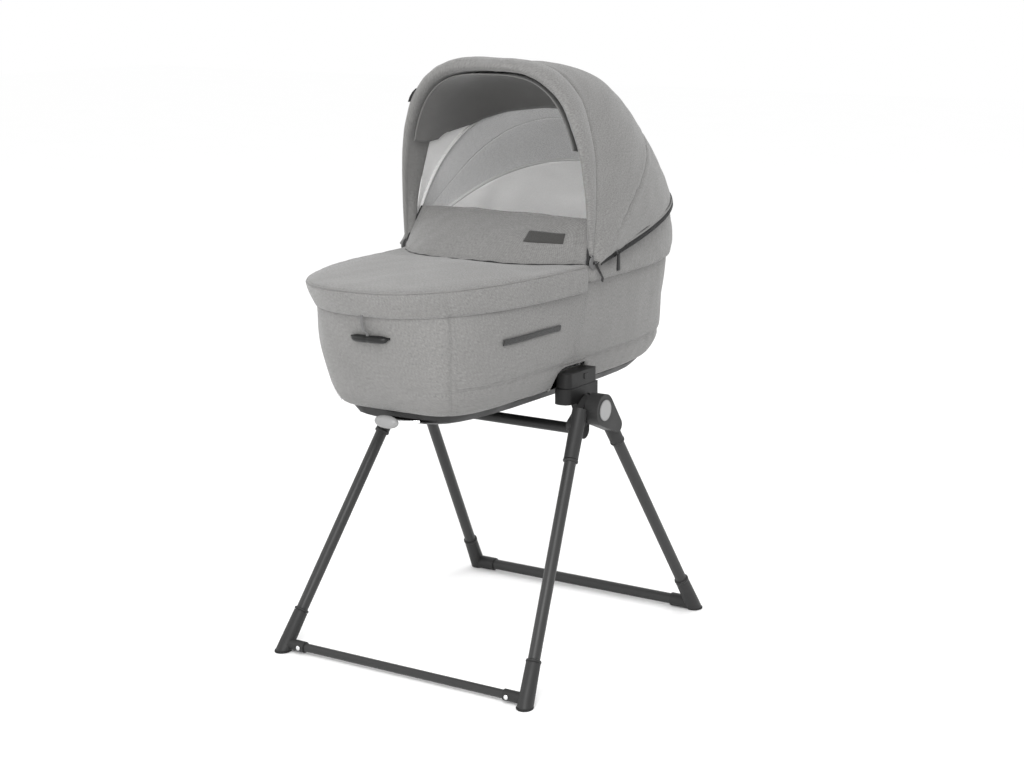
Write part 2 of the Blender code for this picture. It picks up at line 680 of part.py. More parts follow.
def make_release_button(side, tag):
    frame = pivot_frame(f"release_{tag}_slide", Vector((ADAPTER_X[1] * side, 0, 0.523)))
    inner, outer = sorted(((ADAPTER_X[1] - 0.0032) * side, (ADAPTER_X[1] + 0.0012) * side))
    button = block((inner, -0.006, 0.518), (outer, 0.006, 0.528))
    finish_part(button, "release_button_" + tag, "dark_plastic", frame)


def band_ring(z, half, foot, head, start_y, count, ahead):
    """The cot's outline at one height from one side round to the other, ahead or behind of start_y."""
    end = foot if ahead else head
    sign = -1 if ahead else 1
    power = RIM_POWER
    limit = math.acos((max(0.0, sign * start_y) / end) ** (power / 2))
    points = []
    for i in range(count):
        turn = mix(-limit, limit, i / (count - 1))
        x = half * signed_power(math.sin(turn), 2 / power)
        y = sign * end * abs(math.cos(turn)) ** (2 / power)
        points.append(Vector((x, y, z)))
    return points


def make_apron():
    """The cover over the foot half: a low dome with a skirt that hangs outside the shell."""
    count = 33
    end_y = APRON_END_Y
    (edge_z, edge_half, edge_foot), (seam_z, seam_half, seam_foot) = APRON_EDGE, APRON_SEAM
    slim = APRON_WALL
    seam = band_ring(seam_z, seam_half, seam_foot, 0, end_y, count, True)
    edge = band_ring(edge_z, edge_half, edge_foot, 0, end_y, count, True)
    seam_in = band_ring(seam_z - 0.006, seam_half - slim, seam_foot - slim, 0, end_y, count, True)
    edge_in = band_ring(edge_z, edge_half - slim, edge_foot - slim, 0, end_y, count, True)
    shares = (0.94, 0.75, 0.45, 0.04)
    over = [dome_row(seam, share, 0.005) for share in shares]
    under = [dome_row(seam, share, 0.0) for share in reversed(shares)]
    loop = [edge, seam, *over, *under, seam_in, edge_in]
    sections = [list(section) for section in zip(*loop)]
    finish_part(loft(sections), "apron_cover", "shell_fabric", COT)


def dome_row(seam, share, lift):
    """A row of the apron's panel, drawn in towards the middle of its straight end and raised."""
    row = []
    for point in seam:
        y = mix(APRON_END_Y, point.y, share)
        level = min(1.0, (APRON_END_Y - y) / 0.12)
        rise = APRON_DOME * (1 - share**2) * level * level * (3 - 2 * level)
        row.append(Vector((point.x * share, y, point.z + lift + rise)))
    return row


def make_head_band():
    """The puffed band round the head end, between the shell and the hood's zip."""
    count = 33
    start_y = 0.006
    profile = (
        # height at the side, rise to the head end, half-width, reach to the head end
        (0.7010, 0.000, 0.2035, 0.4610),
        (0.7160, 0.034, 0.2090, HEAD_END),
        (0.7290, 0.070, 0.2120, 0.4660),
        (0.7325, 0.080, 0.2105, 0.4560),
        (0.7295, 0.072, 0.2070, 0.4520),
        (0.7160, 0.036, 0.2040, 0.4630),
        (0.7010, 0.000, 0.1990, 0.4565),
    )
    rows = []
    for z, rise, half, head in profile:
        ring = band_ring(0, half, 0, head, start_y, count, False)
        rows.append([Vector((p.x, p.y, z + rise * max(0.0, p.y) / head)) for p in ring])
    sections = [list(section) for section in zip(*rows)]
    finish_part(loft(sections), "head_band", "shell_fabric", COT)


def make_zip():
    angle, half, reach = REAR_GORE[0]
    points = hood_section(angle, half + 0.0024, reach + 0.0024, 0.056, count=26)
    finish_part(along(points, 0.0016), "hood_zip", "bar_paint", COT)


def make_zip_pull():
    """The zip's pull tab, which hangs from the slider on the right side."""
    top = Vector((0.2262, 0.052, 0.745))
    frame = pivot_frame("zip_pull_pivot", top)
    tab = block((top.x - 0.0010, top.y - 0.003, top.z - 0.030), (top.x + 0.0010, top.y + 0.003, top.z + 0.001))
    finish_part(tab, "zip_pull", "bar_paint", frame)


def make_foot_hook():
    """The moulded hook on the foot end, and the elastic loop that holds the apron down to it."""
    half, bend = HOOK_HALF, HOOK_HALF * 0.54
    front = -0.421
    outline = [(-half, front + 0.004), (-bend, front - 0.001), (bend, front - 0.001), (half, front + 0.004)]
    outline += [(half, front - 0.006), (bend, front - 0.012), (-bend, front - 0.012), (-half, front - 0.006)]
    outline = [(x + HOOK_X, y) for x, y in outline]
    hook = plate(outline[::-1], "Z", 0.630, 0.645)
    finish_part(hook, "foot_hook", "dark_plastic", COT)
    loop = block((HOOK_X - 0.0020, -0.4465, 0.6455), (HOOK_X + 0.0060, -0.4445, 0.6850))
    finish_part(loop, "elastic_loop", "shell_fabric", COT)


def make_side_tape(side, tag):
    """The dark reinforcing tape sewn along each side of the shell."""
    count = 7
    rows = []
    low, high = TAPE_Z
    for z, out in ((low, 0.0005), (low, 0.0022), (high, 0.0022), (high, 0.0005)):
        row = []
        for i in range(count):
            y = mix(*TAPE_ENDS, i / (count - 1))
            half, foot, _, power, _ = level_sizes(z)
            x = half * (1 - (-y / foot) ** power) ** (1 / power)
            row.append(Vector(((x + out + TAPE_CLEAR) * side, y, z)))
        rows.append(row)
    sections = [list(section) for section in zip(*rows)]
    finish_part(loft(sections), "side_tape_" + tag, "bar_paint", COT)


def make_backrest():
    """A board that tilts up under the head half of the mattress, and that half of the mattress."""
    frame = pivot_frame("backrest_pivot", Vector((0, HINGE_Y, BOARD_Z[0])))
    board = rounded_box((-0.125, HINGE_Y), (0.125, 0.352), (0.004, 0.004, 0.085, 0.085), 6)
    finish_part(plate(board, "Z", *BOARD_Z), "backrest_board", "board_plastic", frame)
    low = BOARD_Z[1] + GAP
    head = [mattress_ring(z, y0, MATTRESS_HEAD_END, drop) for z, y0, drop in (
        (low, HINGE_Y + 0.002, 0.006), (low + 0.006, HINGE_Y + 0.004, 0.0),
        (MATTRESS_TOP_Z - 0.006, HINGE_Y + 0.020, 0.0), (MATTRESS_TOP_Z, HINGE_Y + 0.024, 0.006))]
    finish_part(loft(head), "mattress_head", "mattress_fabric", frame)


def mattress_ring(z, y0, y1, drop):
    outline = rounded_box((-MATTRESS_HALF + drop, y0), (MATTRESS_HALF - drop, y1 - drop), (0.004, 0.004, 0.09, 0.09), 6)
    return [Vector((x, y, z)) for x, y in outline]


def make_mattress_foot():
    end = MATTRESS_FOOT_END
    low = BOARD_Z[0]
    rings = []
    for z, drop in ((low, 0.006), (low + 0.006, 0.0), (MATTRESS_TOP_Z - 0.006, 0.0), (MATTRESS_TOP_Z, 0.006)):
        half = MATTRESS_HALF - drop
        outline = rounded_box((-half, end + drop), (half, HINGE_Y - 0.003), (0.09, 0.09, 0.004, 0.004), 6)
        rings.append([Vector((x, y, z)) for x, y in outline])
    finish_part(loft(rings), "mattress_foot", "mattress_fabric", COT)


def make_adjuster():
    """The silver handle under the foot end, with the metal link that runs in the tray's slot."""
    frame = pivot_frame("adjuster_slide", Vector((0, -0.356, 0.486)))
    bpy.ops.mesh.primitive_uv_sphere_add(segments=20, ring_count=12, radius=1)
    knob = bpy.context.active_object
    knob.data.transform(Matrix.Translation((0, -0.359, 0.4825)) @ Matrix.Diagonal((0.025, 0.0085, 0.0115, 1)))
    knob = baked(knob)
    finish_part(knob, "adjuster_knob", "light_plastic", frame)
    link = along([Vector((0.0256, -0.3535, 0.4862)), Vector((0.040, -0.3505, 0.4862)), Vector((0.058, -0.3400, 0.4866))], 0.0024)
    finish_part(link, "adjuster_link", "bright_metal", frame)


# ---- Hood ----
def bow(section, start):
    """A flat strip bent over the hood, from pivot to pivot."""
    angle, half, reach = section
    spread = math.degrees(BOW_WIDE / 2 / reach)
    rings = [hood_section(angle - spread, half, reach, start), hood_section(angle + spread, half, reach, start)]
    slim = [hood_section(angle + d, half - BOW_THICK, reach - BOW_THICK, start) for d in (spread, -spread)]
    return loft([list(p) for p in zip(*(rings + slim))])


def bow_with_eyes(section, eye_r):
    """A bow whose two ends are round eyes on the pivot."""
    made = bow(section, 0.010)
    for side in (1, -1):
        ends = [Vector((x * side, HOOD_Y, HOOD_Z)) for x in (section[1] - BOW_THICK, section[1])]
        boolean(made, rod(*ends, eye_r, 20), "UNION")
        hole = [Vector((x * side, HOOD_Y, HOOD_Z)) for x in (0.18, 0.23)]
        boolean(made, rod(*hole, 0.0035, 12), "DIFFERENCE")
    return baked(made)


def make_hood_hinge(side, tag):
    """The fixed hinge plate on the rim, with the pin that both bows turn on."""
    start = Vector((0.1915 * side, HOOD_Y, HOOD_Z))
    profile = [(0, 0.0195), (0.0032, 0.0195), (0.0032, 0.0048), (0.012, 0.0048), (0.012, 0), (0, 0)]
    hinge = turned(profile, aligned(start, start + Vector((side, 0, 0))), 20)
    low = (min(0.1915 * side, 0.1963 * side), HOOD_Y - 0.008, RIM_Z + 0.007)
    high = (max(0.1915 * side, 0.1963 * side), HOOD_Y + 0.008, HOOD_Z)
    boolean(hinge, block(low, high), "UNION")
    finish_part(baked(hinge), "hood_hinge_" + tag, "board_plastic", COT)


def make_hood():
    pivot = Vector((0, HOOD_Y, HOOD_Z))
    middle = pivot_frame("hood_middle_pivot", pivot)
    front = pivot_frame("hood_front_pivot", pivot)
    finish_part(hood_shell(REAR_GORE, HOOD_FABRIC, 0.050), "hood_rear_panel", "shell_fabric", COT)
    finish_part(hood_shell(MID_GORE, HOOD_FABRIC), "hood_middle_panel", "shell_fabric", middle)
    finish_part(hood_shell(LINING_SECTIONS, LINING_SKIN), "hood_lining", "lining_fabric", middle)
    finish_part(bow_with_eyes(MID_BOW, 0.012), "middle_bow", "board_plastic", middle)
    finish_part(hood_shell(FRONT_GORE, HOOD_FABRIC), "hood_front_panel", "shell_fabric", front)
    finish_part(hood_shell(FRONT_BAND, FRONT_BAND_WALL, 0.030), "hood_front_band", "shell_fabric", front)
    finish_part(bow_with_eyes(FRONT_BOW, 0.012), "front_bow", "board_plastic", front)
    finish_part(make_visor(), "visor_panel", "visor_fabric", front)
    for side, tag in ((1, "right"), (-1, "left")):
        make_hood_hinge(side, tag)


def make_visor():
    """The dark inner panel behind the top of the front edge."""
    return hood_shell(VISOR, 0.0018, 0.250, 20)


# ---- Wind flap ----
def make_wind_flap():
    """The stiffened flap that stands up across the opening, with its blank label."""
    frame = pivot_frame("wind_flap_pivot", FLAP_FOOT)
    rise = FLAP_TOP - FLAP_FOOT
    across = Vector((FLAP_HALF, 0, 0))
    normal = rise.cross(Vector((1, 0, 0))).normalized() * (FLAP_THICK / 2)
    rings = []
    for share, wide in ((0.0, 1.0), (0.5, 0.985), (1.0, 0.955)):
        centre = FLAP_FOOT + rise * share
        left, right = centre - across * wide, centre + across * wide
        rings.append([left - normal, right - normal, right + normal, left + normal])
    finish_part(loft(rings), "wind_flap", "shell_fabric", frame)
    label_half = Vector((LABEL_SIZE[0] / 2, 0, 0))
    up = rise.normalized() * (LABEL_SIZE[1] / 2)
    out = normal.normalized()
    if out.y > 0:
        out = -out
    centre = FLAP_FOOT + rise * 0.62 + Vector((LABEL_X, 0, 0))
    rings = []
    for depth in (FLAP_THICK / 2 + GAP, FLAP_THICK / 2 + GAP + 0.0012):
        middle = centre + out * depth
        left, right = middle - label_half, middle + label_half
        rings.append([left - up, right - up, right + up, left + up])
    finish_part(loft(rings), "blank_label", "bar_paint", frame)


def make_cot():
    make_shell()
    make_lining()
    make_tray()
    make_rim_frame()
    make_apron()
    make_head_band()
    make_zip()
    make_zip_pull()
    make_foot_hook()
    make_mattress_foot()
    make_backrest()
    make_adjuster()
    make_hood()
    make_wind_flap()
    for side, tag in ((1, "right"), (-1, "left")):
        make_adapter(side, tag)
        make_release_button(side, tag)
        make_side_tape(side, tag)


clear_scene()
PARTS = new_collection("bassinet_on_stand")
CUTTERS = new_collection("cutters", hidden=True)
COT = pivot_frame("cot_frame", Vector((0, 0, SOCKET_Z[1])))
make_stand()
make_cot()
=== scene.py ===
"""Bassinet on a folding stand: cloth, trim, finishes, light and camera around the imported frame."""
import math

import bmesh
import bpy
import numpy as np
from mathutils import Matrix, Vector


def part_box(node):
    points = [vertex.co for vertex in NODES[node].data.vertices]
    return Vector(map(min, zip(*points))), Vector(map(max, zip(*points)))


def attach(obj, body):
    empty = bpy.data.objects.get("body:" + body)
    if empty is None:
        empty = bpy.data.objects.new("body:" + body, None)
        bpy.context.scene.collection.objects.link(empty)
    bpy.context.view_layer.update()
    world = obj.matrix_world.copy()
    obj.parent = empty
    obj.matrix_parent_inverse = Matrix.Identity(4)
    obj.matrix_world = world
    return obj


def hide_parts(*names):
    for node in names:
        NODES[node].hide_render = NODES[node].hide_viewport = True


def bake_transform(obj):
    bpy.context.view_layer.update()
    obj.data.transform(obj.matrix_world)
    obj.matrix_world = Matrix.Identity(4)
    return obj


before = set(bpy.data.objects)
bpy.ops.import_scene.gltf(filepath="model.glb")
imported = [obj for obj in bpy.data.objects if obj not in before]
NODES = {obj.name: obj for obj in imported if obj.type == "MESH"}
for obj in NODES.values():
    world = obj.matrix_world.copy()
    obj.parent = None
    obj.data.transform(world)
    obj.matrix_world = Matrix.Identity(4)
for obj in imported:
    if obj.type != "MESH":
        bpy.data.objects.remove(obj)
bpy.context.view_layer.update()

SIDES = ((1, "right"), (-1, "left"))

# ---- Sizes, in metres, in the frame's axes ----
# Cot: height, half-width, foot end, head end, squareness of the foot end and of the head end
COT_LEVELS = np.array((
    (0.500, 0.1474, 0.3508, 0.3828, 5.5, 4.4),
    (0.520, 0.1564, 0.3643, 0.4110, 5.2, 4.2),
    (0.555, 0.1671, 0.3793, 0.4273, 4.7, 3.85),
    (0.620, 0.1813, 0.4070, 0.4420, 3.8, 3.2),
    (0.660, 0.1893, 0.4232, 0.4500, 3.2, 3.1),
    (0.700, 0.1970, 0.4390, 0.4625, 2.75, 2.85),
))
# Foot cover's band: height, half-width, foot end, squareness, at its lower edge and at its seam
BAND_EDGE = (0.686, 0.2032, 0.4400, 2.66)
BAND_SEAM = (0.728, 0.2045, 0.4670, 2.64)
# Hood: angle above +Y about a cross axis, half-width, reach, squareness
HOOD_AXIS = np.array((0.0, -0.010, 0.735))
HOOD_SECTIONS = np.array((
    (8.0, 0.2180, 0.470, 2.85),
    (24.0, 0.2215, 0.4260, 2.95),
    (38.0, 0.2220, 0.3900, 3.05),
    (50.0, 0.2185, 0.3840, 3.15),
    (62.0, 0.2145, 0.3770, 3.25),
    (74.0, 0.2095, 0.3650, 3.25),
    (84.5, 0.2060, 0.3515, 3.20),
    (96.0, 0.2050, 0.3505, 3.20),
))
HOOD_EDGE, SEAM_TWO, SEAM_ONE = 11.5, 38.0, 84.5  # the rear cloth's lower edge and the two seams, in degrees


# ---- Numbers and curves ----
def smooth_step(t):
    t = np.clip(t, 0.0, 1.0)
    return t * t * (3 - 2 * t)


def bump_at(d, width):
    """1 on a line and 0 beyond about twice the width from it."""
    return np.exp(-((d / width) ** 2))


def unit(v):
    return v / np.maximum(np.linalg.norm(v, axis=-1, keepdims=True), 1e-12)


def squared(c, power):
    """A cosine or sine for an outline that is squarer than an ellipse."""
    return np.sign(c) * np.abs(c) ** (2 / power)


def table_at(table, key):
    """A row of a table at any value of its first column, on a smooth curve through the rows."""
    x, y = table[:, 0], table[:, 1:]
    key = np.asarray(key, float)
    slopes = np.gradient(y, x, axis=0)
    i = np.clip(np.searchsorted(x, key) - 1, 0, len(x) - 2)
    h = (x[i + 1] - x[i])[..., None]
    t = np.clip((key - x[i]) / (x[i + 1] - x[i]), 0, 1)[..., None]
    t2, t3 = t * t, t * t * t
    return ((2 * t3 - 3 * t2 + 1) * y[i] + (t3 - 2 * t2 + t) * h * slopes[i]
            + (3 * t2 - 2 * t3) * y[i + 1] + (t3 - t2) * h * slopes[i + 1])


def ripple(points, size, seed=0):
    """Smooth hills and hollows from -1 to 1 over space, the same ones each time."""
    rng = np.random.default_rng(seed)
    total = np.zeros(points.shape[:-1])
    for _ in range(7):
        way = rng.normal(size=3)
        way *= 2 * math.pi / (size * np.linalg.norm(way)) * rng.uniform(0.6, 1.5)
        total += np.sin(points @ way + rng.uniform(0, 2 * math.pi))
    return total / 3.5


def waves(points, big, small, seed):
    """Broad and fine waviness of cloth: each a height and a size, with this seed and the next."""
    return big[0] * ripple(points, big[1], seed) + small[0] * ripple(points, small[1], seed + 1)


def run_lengths(points, axis=0):
    """Distances along a line of points, or along the lines of a grid."""
    total = np.cumsum(np.linalg.norm(np.diff(points, axis=axis), axis=-1), axis=axis)
    return np.pad(total, [(int(k == axis), 0) for k in range(total.ndim)])


def even(line, count, values=None, endpoint=True):
    """Values, or else the points themselves, at even steps along a line."""
    run = run_lengths(line)
    at = np.linspace(0, run[-1], count, endpoint=endpoint)
    if values is not None:
        return np.interp(at, run, values)
    return np.stack([np.interp(at, run, column) for column in line.T], axis=1)


def resampled(path, step):
    """Points at about this step along a path."""
    path = np.asarray(path, float)
    return even(path, max(2, round(run_lengths(path)[-1] / step) + 1))


def circle(count, half_width=1.0, half_height=1.0):
    turns = np.linspace(0, 2 * math.pi, count, endpoint=False)
    return half_width * np.cos(turns), half_height * np.sin(turns)


def at_height(outline, z):
    """Points in plan, as points in space at this height."""
    return np.concatenate([outline, np.full((len(outline), 1), z)], axis=1)


def normals_of(grid, closed=False, away_from=None):
    """Unit normals of a grid of points, rows first, turned away from a point if one is given."""
    if closed:
        across = np.roll(grid, -1, axis=1) - np.roll(grid, 1, axis=1)
    else:
        across = np.gradient(grid, axis=1)
    n = unit(np.cross(np.gradient(grid, axis=0), across))
    if away_from is not None:
        n *= np.sign((n * (grid - away_from)).sum(-1, keepdims=True))
    return n


def frames_along(path, closed=False, up=(0, 0, 1)):
    """Two unit directions across a path at each of its points."""
    path = np.asarray(path, float)
    way = np.roll(path, -1, axis=0) - np.roll(path, 1, axis=0) if closed else np.gradient(path, axis=0)
    way = unit(way)
    side = unit(np.cross(way, np.broadcast_to(np.asarray(up, float), path.shape)))
    return side, np.cross(side, way)


# ---- Meshes ----
def new_object(name, points, faces, look, uvs=None, smooth=True, outward=True):
    """An object from points and faces, with its faces turned outward."""
    mesh = bpy.data.meshes.new(name)
    mesh.from_pydata([tuple(p) for p in points], [], [tuple(f) for f in faces])
    if uvs is not None:
        layer = mesh.uv_layers.new(name="cloth")
        index = np.empty(len(mesh.loops), int)
        mesh.loops.foreach_get("vertex_index", index)
        layer.data.foreach_set("uv", np.asarray(uvs, np.float32)[index].ravel())
    mesh.update()
    if outward:
        made = bmesh.new()
        made.from_mesh(mesh)
        bmesh.ops.recalc_face_normals(made, faces=made.faces)
        made.to_mesh(mesh)
        made.free()
    obj = bpy.data.objects.new(name, mesh)
    bpy.context.collection.objects.link(obj)
    mesh.materials.append(LOOKS[look])
    if smooth:
        mesh.shade_smooth()
    return obj


def quads(rows, cols, closed, start=0, flip=False):
    faces = []
    for r in range(rows - 1):
        for c in range(cols if closed else cols - 1):
            d = (c + 1) % cols
            face = (start + r * cols + c, start + r * cols + d, start + (r + 1) * cols + d, start + (r + 1) * cols + c)
            faces.append(face[::-1] if flip else face)
    return faces


def solid_faces(rows, cols, start=0):
    """Faces of a closed body made of rings, with an end face on the first and the last."""
    last = start + (rows - 1) * cols
    return quads(rows, cols, True, start) + [tuple(range(start, start + cols))[::-1], tuple(range(last, last + cols))]


def cut_size(grid, closed):
    """The flat size of a panel that is sewn tight: its girth, its height and its area over the surface."""
    loop = np.concatenate([grid, grid[:, :1]], axis=1) if closed else grid
    a, b, c, d = loop[:-1, :-1], loop[:-1, 1:], loop[1:, 1:], loop[1:, :-1]
    halves = (np.linalg.norm(np.cross(p - a, q - a), axis=-1).sum() for p, q in ((b, c), (c, d)))
    return run_lengths(loop, 1)[:, -1].max(), run_lengths(loop, 0)[-1].max(), sum(halves) / 2


def cloth(name, grid, look, thick=0.0024, closed=False, out=1, flat_uv=False):
    """A closed piece of cloth: its outer side is the grid, its inner side lies thick behind it."""
    grid = np.asarray(grid, float)
    rows, cols = grid.shape[:2]
    cut_size(grid, closed)
    inner = grid - normals_of(grid, closed) * thick * out
    count = rows * cols
    faces = quads(rows, cols, closed, 0, out < 0) + quads(rows, cols, closed, count, out > 0)
    index = np.arange(count).reshape(rows, cols)
    ends = np.column_stack([index[[0, -1]], index[[0, -1], 0]]) if closed else index[[0, -1]]
    rims = [(ends[0], out > 0), (ends[1], out < 0)]  # each rim of the cloth, and whether its faces are turned over
    if not closed:
        rims += [(index[:, 0], out < 0), (index[:, -1], out > 0)]
    for rim, turned in rims:
        rim_faces = [(a, b, b + count, a + count) for a, b in zip(rim, rim[1:])]
        faces += [face[::-1] for face in rim_faces] if turned else rim_faces
    uv = grid[..., :2] if flat_uv else np.stack([run_lengths(grid, 1), run_lengths(grid, 0)], axis=-1)
    uv = uv.reshape(-1, 2)
    points = np.concatenate([grid.reshape(-1, 3), inner.reshape(-1, 3)])
    return new_object(name, points, faces, look, np.concatenate([uv, uv]))


def tube(name, path, radius, look, sides=10, closed=False, up=(0, 0, 1), flat=1.0):
    """A round or flattened cord along a path; its radius is one number or one for each point."""
    path = np.asarray(path, float)
    side, high = frames_along(path, closed, up)
    c, s = circle(sides)
    radius = np.broadcast_to(np.asarray(radius, float), (len(path),))[:, None, None]
    grid = path[:, None] + radius * c[None, :, None] * side[:, None] + flat * radius * s[None, :, None] * high[:, None]
    rows = len(grid)
    if closed:
        faces = [tuple(i % (rows * sides) for i in face) for face in quads(rows + 1, sides, True)]
    else:
        faces = solid_faces(rows, sides)
    return new_object(name, grid.reshape(-1, 3), faces, look)


STITCH, STITCH_GAP, THREAD_R = 0.0030, 0.0012, 0.00042
STITCH_SIDES = 6
STITCH_BEAD = ((0.0, 0.35), (0.2, 1.0), (0.8, 1.0), (1.0, 0.35))  # share of the length, share of the radius


def sew(name, path, body, look="thread"):
    """A row of thread stitches on a path, each a short plump bead of thread."""
    line = resampled(path, STITCH + STITCH_GAP)
    ways = unit(np.diff(line, axis=0))
    points, faces = [], []
    c, s = circle(STITCH_SIDES)
    across, high = frames_along(line[:-1] + ways * 0.0005, up=(0.13, 0.21, 0.97))
    for k, start in enumerate(line[:-1]):
        faces += solid_faces(len(STITCH_BEAD), STITCH_SIDES, len(points))
        ring = np.outer(c, across[k]) + np.outer(s, high[k])
        for share, fat in STITCH_BEAD:
            points += list(start + ways[k] * STITCH * share + THREAD_R * fat * ring)
    return placed(new_object(name, points, faces, look), body)


def baked(obj):
    """Applies an object's modifiers."""
    graph = bpy.context.evaluated_depsgraph_get()
    mesh = bpy.data.meshes.new_from_object(obj.evaluated_get(graph), depsgraph=graph)
    obj.modifiers.clear()
    obj.data = mesh


# ---- Materials ----
class Look:
    """A material's node tree, with short ways to add to it."""

    def __init__(self, name, rough, coords="Object", **inputs):
        self.material = bpy.data.materials.new(name)
        self.material.use_nodes = True
        self.nodes, self.links = self.material.node_tree.nodes, self.material.node_tree.links
        self.shader = self.nodes["Principled BSDF"]
        for key, value in {"Roughness": rough, "Sheen Roughness": 0.45, **inputs}.items():
            self.shader.inputs[key].default_value = value
        self.where = self.nodes.new("ShaderNodeTexCoord").outputs[coords]

    def node(self, kind, output, settings=None, **inputs):
        """Adds a node and gives its output; an input is a number, a tuple or another node's output."""
        node = self.nodes.new(kind)
        for key, value in (settings or {}).items():
            setattr(node, key, value)
        for key, value in inputs.items():
            socket = node.inputs[int(key[1:]) if key[1:].isdigit() else key.replace("_", " ")]
            if isinstance(value, bpy.types.NodeSocket):
                self.links.new(value, socket)
            else:
                socket.default_value = value
        return node.outputs[output]

    def noise(self, scale, detail=3.0, rough=0.6, where=None):
        return self.node("ShaderNodeTexNoise", "Fac", Vector=where or self.where, Scale=scale, Detail=detail,
                         Roughness=rough)

    def mixed(self, share, a, b, kind="MIX"):
        a, b = ((*value, 1) if isinstance(value, tuple) else value for value in (a, b))
        return self.node("ShaderNodeMix", 2, {"data_type": "RGBA", "blend_type": kind}, _0=share, _6=a, _7=b)

    def ranged(self, value, low, high, to_low, to_high):
        return self.node("ShaderNodeMapRange", "Result", Value=value, From_Min=low, From_Max=high, To_Min=to_low,
                         To_Max=to_high)

    def sum_of(self, operation, a, b):
        return self.node("ShaderNodeMath", 0, {"operation": operation}, _0=a, _1=b)

    def mapped(self, **inputs):
        return self.node("ShaderNodeMapping", "Vector", Vector=self.where, **inputs)

    def ribs(self, pitch, turn):
        """Fine parallel ribs at this pitch, turned about the cloth."""
        where = self.mapped(Rotation=(0, 0, math.radians(turn)))
        return self.node("ShaderNodeTexWave", "Fac", Vector=where, Scale=math.pi / (10 * pitch), Distortion=0.6,
                         Detail=1.0, Detail_Scale=1.5)

    def finished(self, colour, gloss, rough, height, strength, depth, invert=False):
        """Links the colour, a roughness that follows a texture between two values, and a bump."""
        bump = self.node("ShaderNodeBump", "Normal", {"invert": invert}, Strength=strength, Distance=depth,
                         Height=height)
        for key, value in (("Base Color", colour), ("Roughness", self.ranged(gloss, 0.3, 0.7, *rough)),
                           ("Normal", bump)):
            self.links.new(value, self.shader.inputs[key])
        return self.material


def shade(colour, share):
    return tuple(min(1, c * share) for c in colour)


def cloth_look(name, colour, spread=0.16, pitch=0.0011, bump=0.35, sheen=0.25, fleck=0.0016, coords="UV"):
    """Woven cloth of mixed yarns: a twill, uneven threads and light and dark flecks."""
    look = Look(name, 0.88, coords, **{"Sheen Weight": sheen, "Specular IOR Level": 0.25})
    weave = look.sum_of("MULTIPLY", look.ribs(pitch, 38), look.ribs(pitch * 0.9, -52))
    flecks = look.noise(1 / fleck, 2.0, 0.7, look.mapped(Scale=(1.0, 0.38, 1.0)))
    cloudy = look.noise(14.0, 2.0, 0.5)
    tone = look.ranged(flecks, 0.30, 0.70, 1 - spread, 1 + spread)
    tone = look.sum_of("MULTIPLY", tone, look.ranged(cloudy, 0.3, 0.7, 0.965, 1.03))
    tone = look.sum_of("MULTIPLY", tone, look.ranged(weave, 0.0, 1.0, 1 - spread * 0.5, 1 + spread * 0.35))
    height = look.sum_of("ADD", weave, look.sum_of("MULTIPLY", flecks, 0.6))
    return look.finished(look.mixed(1.0, colour, tone, "MULTIPLY"), flecks, (0.83, 0.95), height, bump, 0.0004)


def mesh_look(name, colour, dark, cell=0.0026):
    """Open airmesh: round holes in rows through pale yarn."""
    look = Look(name, 0.85, "UV", **{"Sheen Weight": 0.15})
    holes = look.node("ShaderNodeTexVoronoi", "Distance", Vector=look.where, Scale=1 / cell, Randomness=0.25)
    open_part = look.ranged(holes, 0.22, 0.34, 1.0, 0.0)
    yarn = look.noise(900.0, 2.0)
    yarn_colour = look.mixed(yarn, shade(colour, 0.94), shade(colour, 1.06))
    return look.finished(look.mixed(open_part, yarn_colour, dark), yarn, (0.8, 0.92), open_part, 0.5, 0.0005, True)


def plastic_look(name, colour, rough=0.5, bump=0.12):
    """Moulded plastic: a fine spark-eroded grain and a little unevenness in its gloss."""
    look = Look(name, rough, **{"Specular IOR Level": 0.28})
    fine, broad = look.noise(1 / 0.00045, 2.0, 0.5), look.noise(22.0, 3.0, 0.55)
    tone = look.mixed(broad, shade(colour, 0.95), shade(colour, 1.05))
    return look.finished(tone, broad, (rough - 0.07, rough + 0.07), fine, bump, 0.0002)


def paint_look(name, colour, rough=0.42):
    """Powder coat on steel tube: slight orange peel and fine metallic specks."""
    look = Look(name, rough, **{"Metallic": 0.1, "Coat Weight": 0.04, "Coat Roughness": 0.3,
                                "Specular IOR Level": 0.3})
    specks, peel, worn = look.noise(2600.0, 1.0, 0.5), look.noise(420.0, 2.0, 0.5), look.noise(9.0, 3.0, 0.6)
    tone = look.mixed(look.ranged(specks, 0.35, 0.7, 0.0, 1.0), shade(colour, 0.86), shade(colour, 1.2))
    return look.finished(tone, worn, (rough - 0.06, rough + 0.08), peel, 0.10, 0.0003)


def metal_look(name, colour, rough=0.28):
    """Brushed bright metal."""
    look = Look(name, rough, Metallic=1.0)
    brush = look.noise(3000.0, 2.0, 0.6, look.mapped(Scale=(0.06, 1.0, 1.0)))
    tone = look.mixed(brush, shade(colour, 0.9), colour)
    return look.finished(tone, brush, (rough - 0.08, rough + 0.12), brush, 0.08, 0.0001)


def grey(value, warm=0.0):
    """A linear colour from a display grey of 0 to 255, with a little warmth."""
    c = (value / 255) ** 2.2
    return (c * (1 + warm), c, c * (1 - 2 * warm))


